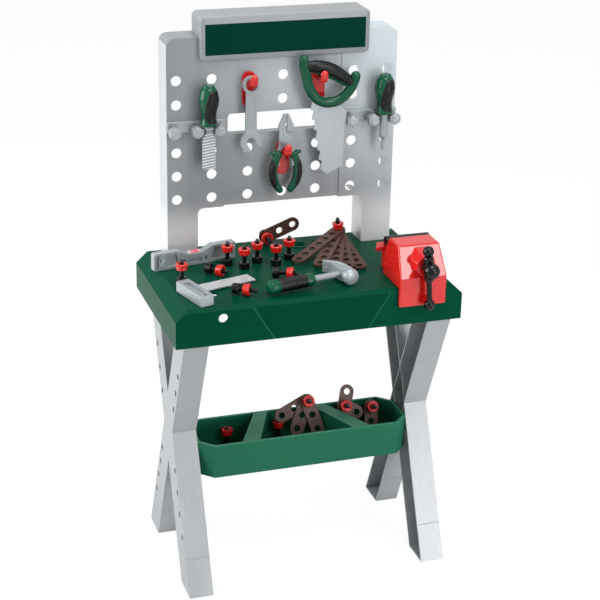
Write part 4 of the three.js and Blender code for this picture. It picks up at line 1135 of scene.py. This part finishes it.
fitted(sleeve, "claw_hammer_sleeve", soft_black, "hammer", "black")


# ---------------------------------------------------------------- the try square and the spirit level
# Two measuring tools in pale silver plastic. The square's stock has a long sunk panel and a hang
# hole, and the level has webbed pockets, an oval hang hole and a tinted vial.
square_frame = frame_at(-0.216, 0.008, 0.0003, 15.5)
stock_long, stock_wide, stock_high = 0.087, 0.026, 0.019
stock = laid(rectangle(0, 0, stock_wide, stock_long, 0.0025), stock_high, stock_high / 2)
eased(stock, 0.0012, 3)
sunk = laid(mm(*rectangle(7, 16, 19, 73, 3)), 0.01, stock_high)
eye = rod((0.013, 0.0085, -0.01), (0.013, 0.0085, 0.03), 0.0036, sides=32)
combined(stock, [sunk, eye])
tongue_foot, tongue_low, tongue_high = stock_wide - 0.008, stock_long - 0.032, stock_long - 0.002
seat = block((tongue_foot, tongue_low - 0.0003, 0.0012), (0.05, tongue_high + 0.0003, 0.0048))
combined(stock, [seat])
eased(stock, 0.0003, 1, 50)
set_in(stock, square_frame)
fitted(stock, "try_square_stock", tool_grey_paint, "try_square", "tool_silver", "square_stock")
tongue_border = 0.0032
tongue = block((tongue_foot + 0.0003, tongue_low, 0.0015), (stock_wide + 0.118, tongue_high, 0.0045))
eased(tongue, 0.0006, 2)
inner_low = (stock_wide + 0.003, tongue_low + tongue_border, 0.0040)
inner = block(inner_low, (stock_wide + 0.1150, tongue_high - tongue_border, 0.01))
combined(tongue, [eased(inner, 0.001, 2)])
smoothed()
set_in(tongue, square_frame)
blade_grey = Plastic("blade_grey", "BCC2C4", 0.3, 0.35, drift=0.05, flow=(0.3, 1, 1), shine=0.5)
fitted(tongue, "try_square_tongue", blade_grey.cast(), "try_square", "tool_silver", "square_blade")

level_heading = 11.2
level_frame = frame_at(-0.254, 0.1906, 0.0003, level_heading)
level_long, level_high, level_thick, level_dip = 0.163, 0.033, 0.014, 0.010
middle = level_long / 2
level_profile = [
    (0, 0, 0.003),
    (level_long, 0, 0.003),
    (level_long, level_high, 0.004),
    (middle + 0.034, level_high, 0.008),
    (middle + 0.014, level_high - level_dip, 0.008),
    (middle - 0.014, level_high - level_dip, 0.008),
    (middle - 0.034, level_high, 0.008),
    (0, level_high, 0.004),
]
body = eased(at(plate(level_profile, level_thick), (0, level_thick / 2, 0)), 0.0009, 3)
pockets = [
    mm((5, 5, 2.5), (10.5, 5, 1), (7.5, 16.5, 4), (10.5, 28, 1), (5, 28, 2.5)),
    mm((24.5, 5, 1), (50, 5, 2.5), (44, 28, 2.5), (24.5, 28, 1), (26, 16.5, 4)),
    mm((56, 5, 2.5), (66, 5, 1), (59, 17, 1)),
    mm((71, 5, 1), (92, 5, 1), (96, 13, 2), (67, 13, 2)),
    mm((97, 5, 1), (107, 5, 2.5), (104, 17, 1)),
    mm((113, 5, 2.5), (158, 5, 2.5), (158, 28, 2.5), (119, 28, 2.5)),
]
faces = (-0.001, level_thick - 0.004)
combined(body, [at(plate(pocket, 0.005), (0, face + 0.0025, 0)) for pocket in pockets for face in faces])
hang = plate(mm(*rectangle(12, 9.5, 22, 23.5, 4.5)), 0.1)
vial_long, vial_radius = 0.026, 0.004
ends = (middle - vial_long / 2 - 0.0003, middle + vial_long / 2 + 0.0003)
vial_z = level_high - level_dip
cradle = rod(*[(end, level_thick / 2, vial_z) for end in ends], vial_radius + 0.0003, sides=40)
combined(body, [hang, cradle])
eased(body, 0.00035, 1, 50)
set_in(body, level_frame)
fitted(body, "level_webbed_body", tool_grey_paint, "spirit_level", "tool_silver", "level_body")
vial_profile = [(0, 0), (vial_radius, 0, 0.0012), (vial_radius, vial_long, 0.0012), (0, vial_long)]
vial = at(turned(vial_profile, 40), (middle - vial_long / 2, level_thick / 2, vial_z), (0, 90, 0))
smoothed(40)
vial_clear = Plastic("vial_clear", "B9B6B8", 0.08, drift=0.05, peel=0.01, shine=0.6)
along = vial_clear.axis("X") - (level_frame.translation.x + middle * math.cos(math.radians(level_heading)))
tinted = 1 - abs(along).between(0.0065, 0.0085)
vial_clear.tint(tinted * 0.85, "E4465A")
set_in(vial, level_frame)
fitted(vial, "level_tinted_vial", vial_clear.cast(), "spirit_level", "vial_tint", "level_vial")


# ---------------------------------------------------------------- the bolts and nuts
# Black plastic bolts with drum heads and ridged shanks, and red drum nuts with a dished top. Six
# stand on their heads with a nut run half way down, and three lie about.
def again(piece):
    """A copy of a piece with a mesh of its own."""
    twin = bpy.data.objects.new(piece.name, piece.data.copy())
    bpy.context.scene.collection.objects.link(twin)
    return twin


def bolt_made(length, head_height=0.012):
    """A bolt that stands on its head."""
    rows = [(0, 0), (0.0087, 0, 0.0004), (0.0095, 0.0009, 0.0004), (0.0095, head_height - 0.0009, 0.0004)]
    rows += [(0.0087, head_height, 0.0004), (0.0043, head_height)]
    ridges = int((length - head_height - 0.007) / 0.003)
    for ridge in range(ridges):
        foot = head_height + 0.002 + ridge * 0.003
        rows += [(0.0043, foot), (0.0043, foot + 0.0012), (0.0036, foot + 0.0017), (0.0036, foot + 0.0025)]
    rows += [(0.0043, length - 0.004), (0.0023, length, 0.0004), (0, length)]
    made = turned(rows, 40, 3)
    socket = start("cylinder", vertices=6, radius=0.0045, depth=0.006)
    combined(made, [socket])
    smoothed(35)
    return made


bolt_pattern = bolt_made(0.045)
nut_profile = mm(
    (4.6, 1.2),
    (8.4, 0, 0.6),
    (9.6, 1.2, 0.6),
    (10.2, 7.6, 0.6),
    (11, 8.6, 0.4),
    (11, 11, 0.6),
    (10, 12, 0.5),
    (7.2, 12, 0.4),
    (6.6, 11, 0.3),
    (4.6, 11, 0.3),
)
nut_pattern = swept(line_drawn(rounded(nut_profile + nut_profile[:1], 3)), 48)
smoothed(40)
black_plastic = Plastic("black_plastic", "090A0B", 0.28, drift=0.2, peel=0.04, shine=0.3)
black_plastic_paint = black_plastic.cast()
nut_height = 0.026
for number in range(1, 7):
    low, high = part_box(f"bolt_{number}")
    foot = (low.x + high.x) / 2, (low.y + high.y) / 2, low.z
    bolt = at(again(bolt_pattern), foot)
    fitted(bolt, f"standing_bolt_{number}", black_plastic_paint, f"bolt_{number}", "black", f"bolt_{number}")
    nut = at(again(nut_pattern), Vector(foot) + Vector((0, 0, nut_height)))
    fitted(nut, f"standing_nut_{number}", glossy_red_paint, f"nut_{number}", "red", f"nut_{number}")


def fastened(place, nut_at, kind, mark, body, *nodes, bolt=None):
    """A bolt at a place, with its nut run along it and both on one body."""
    bolt = set_in(bolt or again(bolt_pattern), place)
    fitted(bolt, f"{kind}_bolt{mark}", black_plastic_paint, body, "black", *nodes)
    nut = set_in(again(nut_pattern), place @ slid(nut_at))
    fitted(nut, f"{kind}_nut{mark}", glossy_red_paint, body, "red")


lying = ((-0.162, 0.157, -45, 0.0225), (-0.142, 0.052, -32, 0.019), (-0.052, 0.107, -25, 0.025))
for number, (x, y, heading, nut_at) in enumerate(lying, 1):
    resting = frame_at(x, y, 0.0113, heading) @ spun("Y", 90)
    resting = resting @ slid(-0.006)
    fastened(resting, nut_at, "lying", f"_{number}", f"fastener_{number}", f"fastener_{number}")


# ---------------------------------------------------------------- the perforated strips
# Round-ended strips of matt brown plastic, with a raised border and a raised ring round each hole.
# Five are fanned out under one red nut, and a short one leans at the back of the table.
def strip_made(holes, pitch):
    """A strip along x, with its first hole about the origin and its lower face on z = 0."""
    half, last, thick = 0.0135, (holes - 1) * pitch, 0.003
    made = eased(plate(rectangle(-half, -half, last + half, half, half), thick, 12), 0.0005, 2)
    inner = half - 0.0022
    panel = plate(rectangle(-inner, -inner, last + inner, inner, inner), 0.001, 12)
    combined(panel, [rod((hole * pitch, -1, 0), (hole * pitch, 1, 0), 0.0084) for hole in range(holes)])
    far_panel = again(panel)
    at(panel, (0, -thick / 2, 0))
    at(far_panel, (0, thick / 2, 0))
    combined(made, [panel, far_panel])
    bores = [rod((hole * pitch, -1, 0), (hole * pitch, 1, 0), 0.0062, sides=32) for hole in range(holes)]
    combined(made, bores)
    smoothed()
    return at(made, (0, 0, thick / 2), (-90, 0, 0))


strip_brown = Plastic("strip_brown", "4A2F27", 0.46, drift=0.12, flow=(0.6, 0.6, 1), peel=0.08, shine=0.35)
strip_brown_paint = strip_brown.cast()
long_strip = strip_made(7, 0.0253)
downhill, drop = math.radians(-174), math.radians(5.4)
fan_tilt = Matrix.Rotation(drop, 4, Vector((-math.sin(downhill), math.cos(downhill), 0)))
fan_frame = frame_at(0.1225, 0.266, 0.0003 + 0.0095 * math.sin(drop)) @ fan_tilt
for number, heading in enumerate((-137.6, -121.5, -111.5, -103, -95), 1):
    lift = slid(0.0048 + (5 - number) * 0.0033)
    strip = set_in(again(long_strip), fan_frame @ lift @ spun("Z", heading))
    node = f"fan_strip_{number}"
    fitted(strip, f"brown_strip_{number}", strip_brown_paint, node, "brown", node)
fan_bolt = bolt_made(0.0433, 0.0045)
fastened(fan_frame, 0.0213, "fan", "", "fan_pin", "fan_fastener", bolt=fan_bolt)

short_frame = frame_at(-0.018, 0.282, 0.0143)
face_front = spun("Y", -21) @ spun("X", 90)
short = set_in(strip_made(3, 0.0276), short_frame @ face_front)
fitted(short, "brown_short_strip", strip_brown_paint, "short_strip", "brown", "loose_strip")
toward_front = short_frame @ Matrix.Translation((0, 0.0123, 0)) @ spun("X", 90)
fastened(toward_front, 0.0156, "short", "", "short_strip_pin", "loose_fastener")


# ---------------------------------------------------------------- what lies in the tray
# Short strips that are bolted together and lean on the tray's back, two bolts that stand on their
# heads, and a few more that lie on the floor under the strips.
tray_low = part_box("tray")[0]
tray_corner = Vector((0, tray_low.y + 0.0008, tray_low.z))
lean, strip_pitch, layer_step, floor_up = math.radians(24), 0.0276, 0.0033, 0.003
down = Vector((0, -math.sin(lean), -math.cos(lean)))
toward = Vector((0, -math.cos(lean), math.sin(lean)))
short_strips = {holes: strip_made(holes, strip_pitch) for holes in (2, 3)}
leaning = (
    ((0.0303, 0.104, 0.0793), ((-67, 3, 0), (-26.9, 3, 0), (15.2, 3, 0))),
    ((0.1045, 0.0972, 0.0627), ((58.5, 2, 0), (-16.3, 3, 1))),
    ((0.1587, 0.0943, 0.0552), ((-6.6, 2, 0),)),
)
for group, (hole, layers) in enumerate(leaning, 1):
    for layer, (angle, holes, pinned) in enumerate(layers):
        swing = math.radians(angle)
        along = down * math.cos(swing) + Vector((math.sin(swing), 0, 0))
        axes = Matrix((along, toward.cross(along), toward)).transposed().to_4x4()
        foot = tray_corner + Vector(hole) + toward * layer * layer_step - along * pinned * strip_pitch
        strip = set_in(again(short_strips[holes]), Matrix.Translation(foot) @ axes)
        fitted(strip, f"tray_strip_{group}_{layer + 1}", strip_brown_paint, "bench", "brown")
    axes = Matrix((Vector((1, 0, 0)), toward.cross(Vector((1, 0, 0))), toward)).transposed().to_4x4()
    foot = Matrix.Translation(tray_corner + Vector(hole) - toward * 0.0123) @ axes
    fastened(foot, 0.0126 + layer_step * len(layers), "tray", f"_{group}", "bench")
resting = [
    (Matrix.Translation(tray_corner + Vector((-0.1263, 0.098, floor_up + 0.0003))), 0.030),
    (Matrix.Translation(tray_corner + Vector((-0.0262, 0.098, floor_up + 0.0003))), 0.032),
]
for x, y, heading in ((0.018, 0.056, 20), (0.088, 0.070, 8), (0.140, 0.060, -15)):
    place = Matrix.Translation(tray_corner + Vector((x, y, floor_up + 0.0113)))
    resting.append((place @ (spun("Z", heading) @ spun("Y", 90)), 0.020))
for number, (foot, nut_at) in enumerate(resting, 4):
    fastened(foot, nut_at, "tray", f"_{number}", "bench")
for pattern in (bolt_pattern, nut_pattern, long_strip, *short_strips.values()):
    bpy.data.objects.remove(pattern)
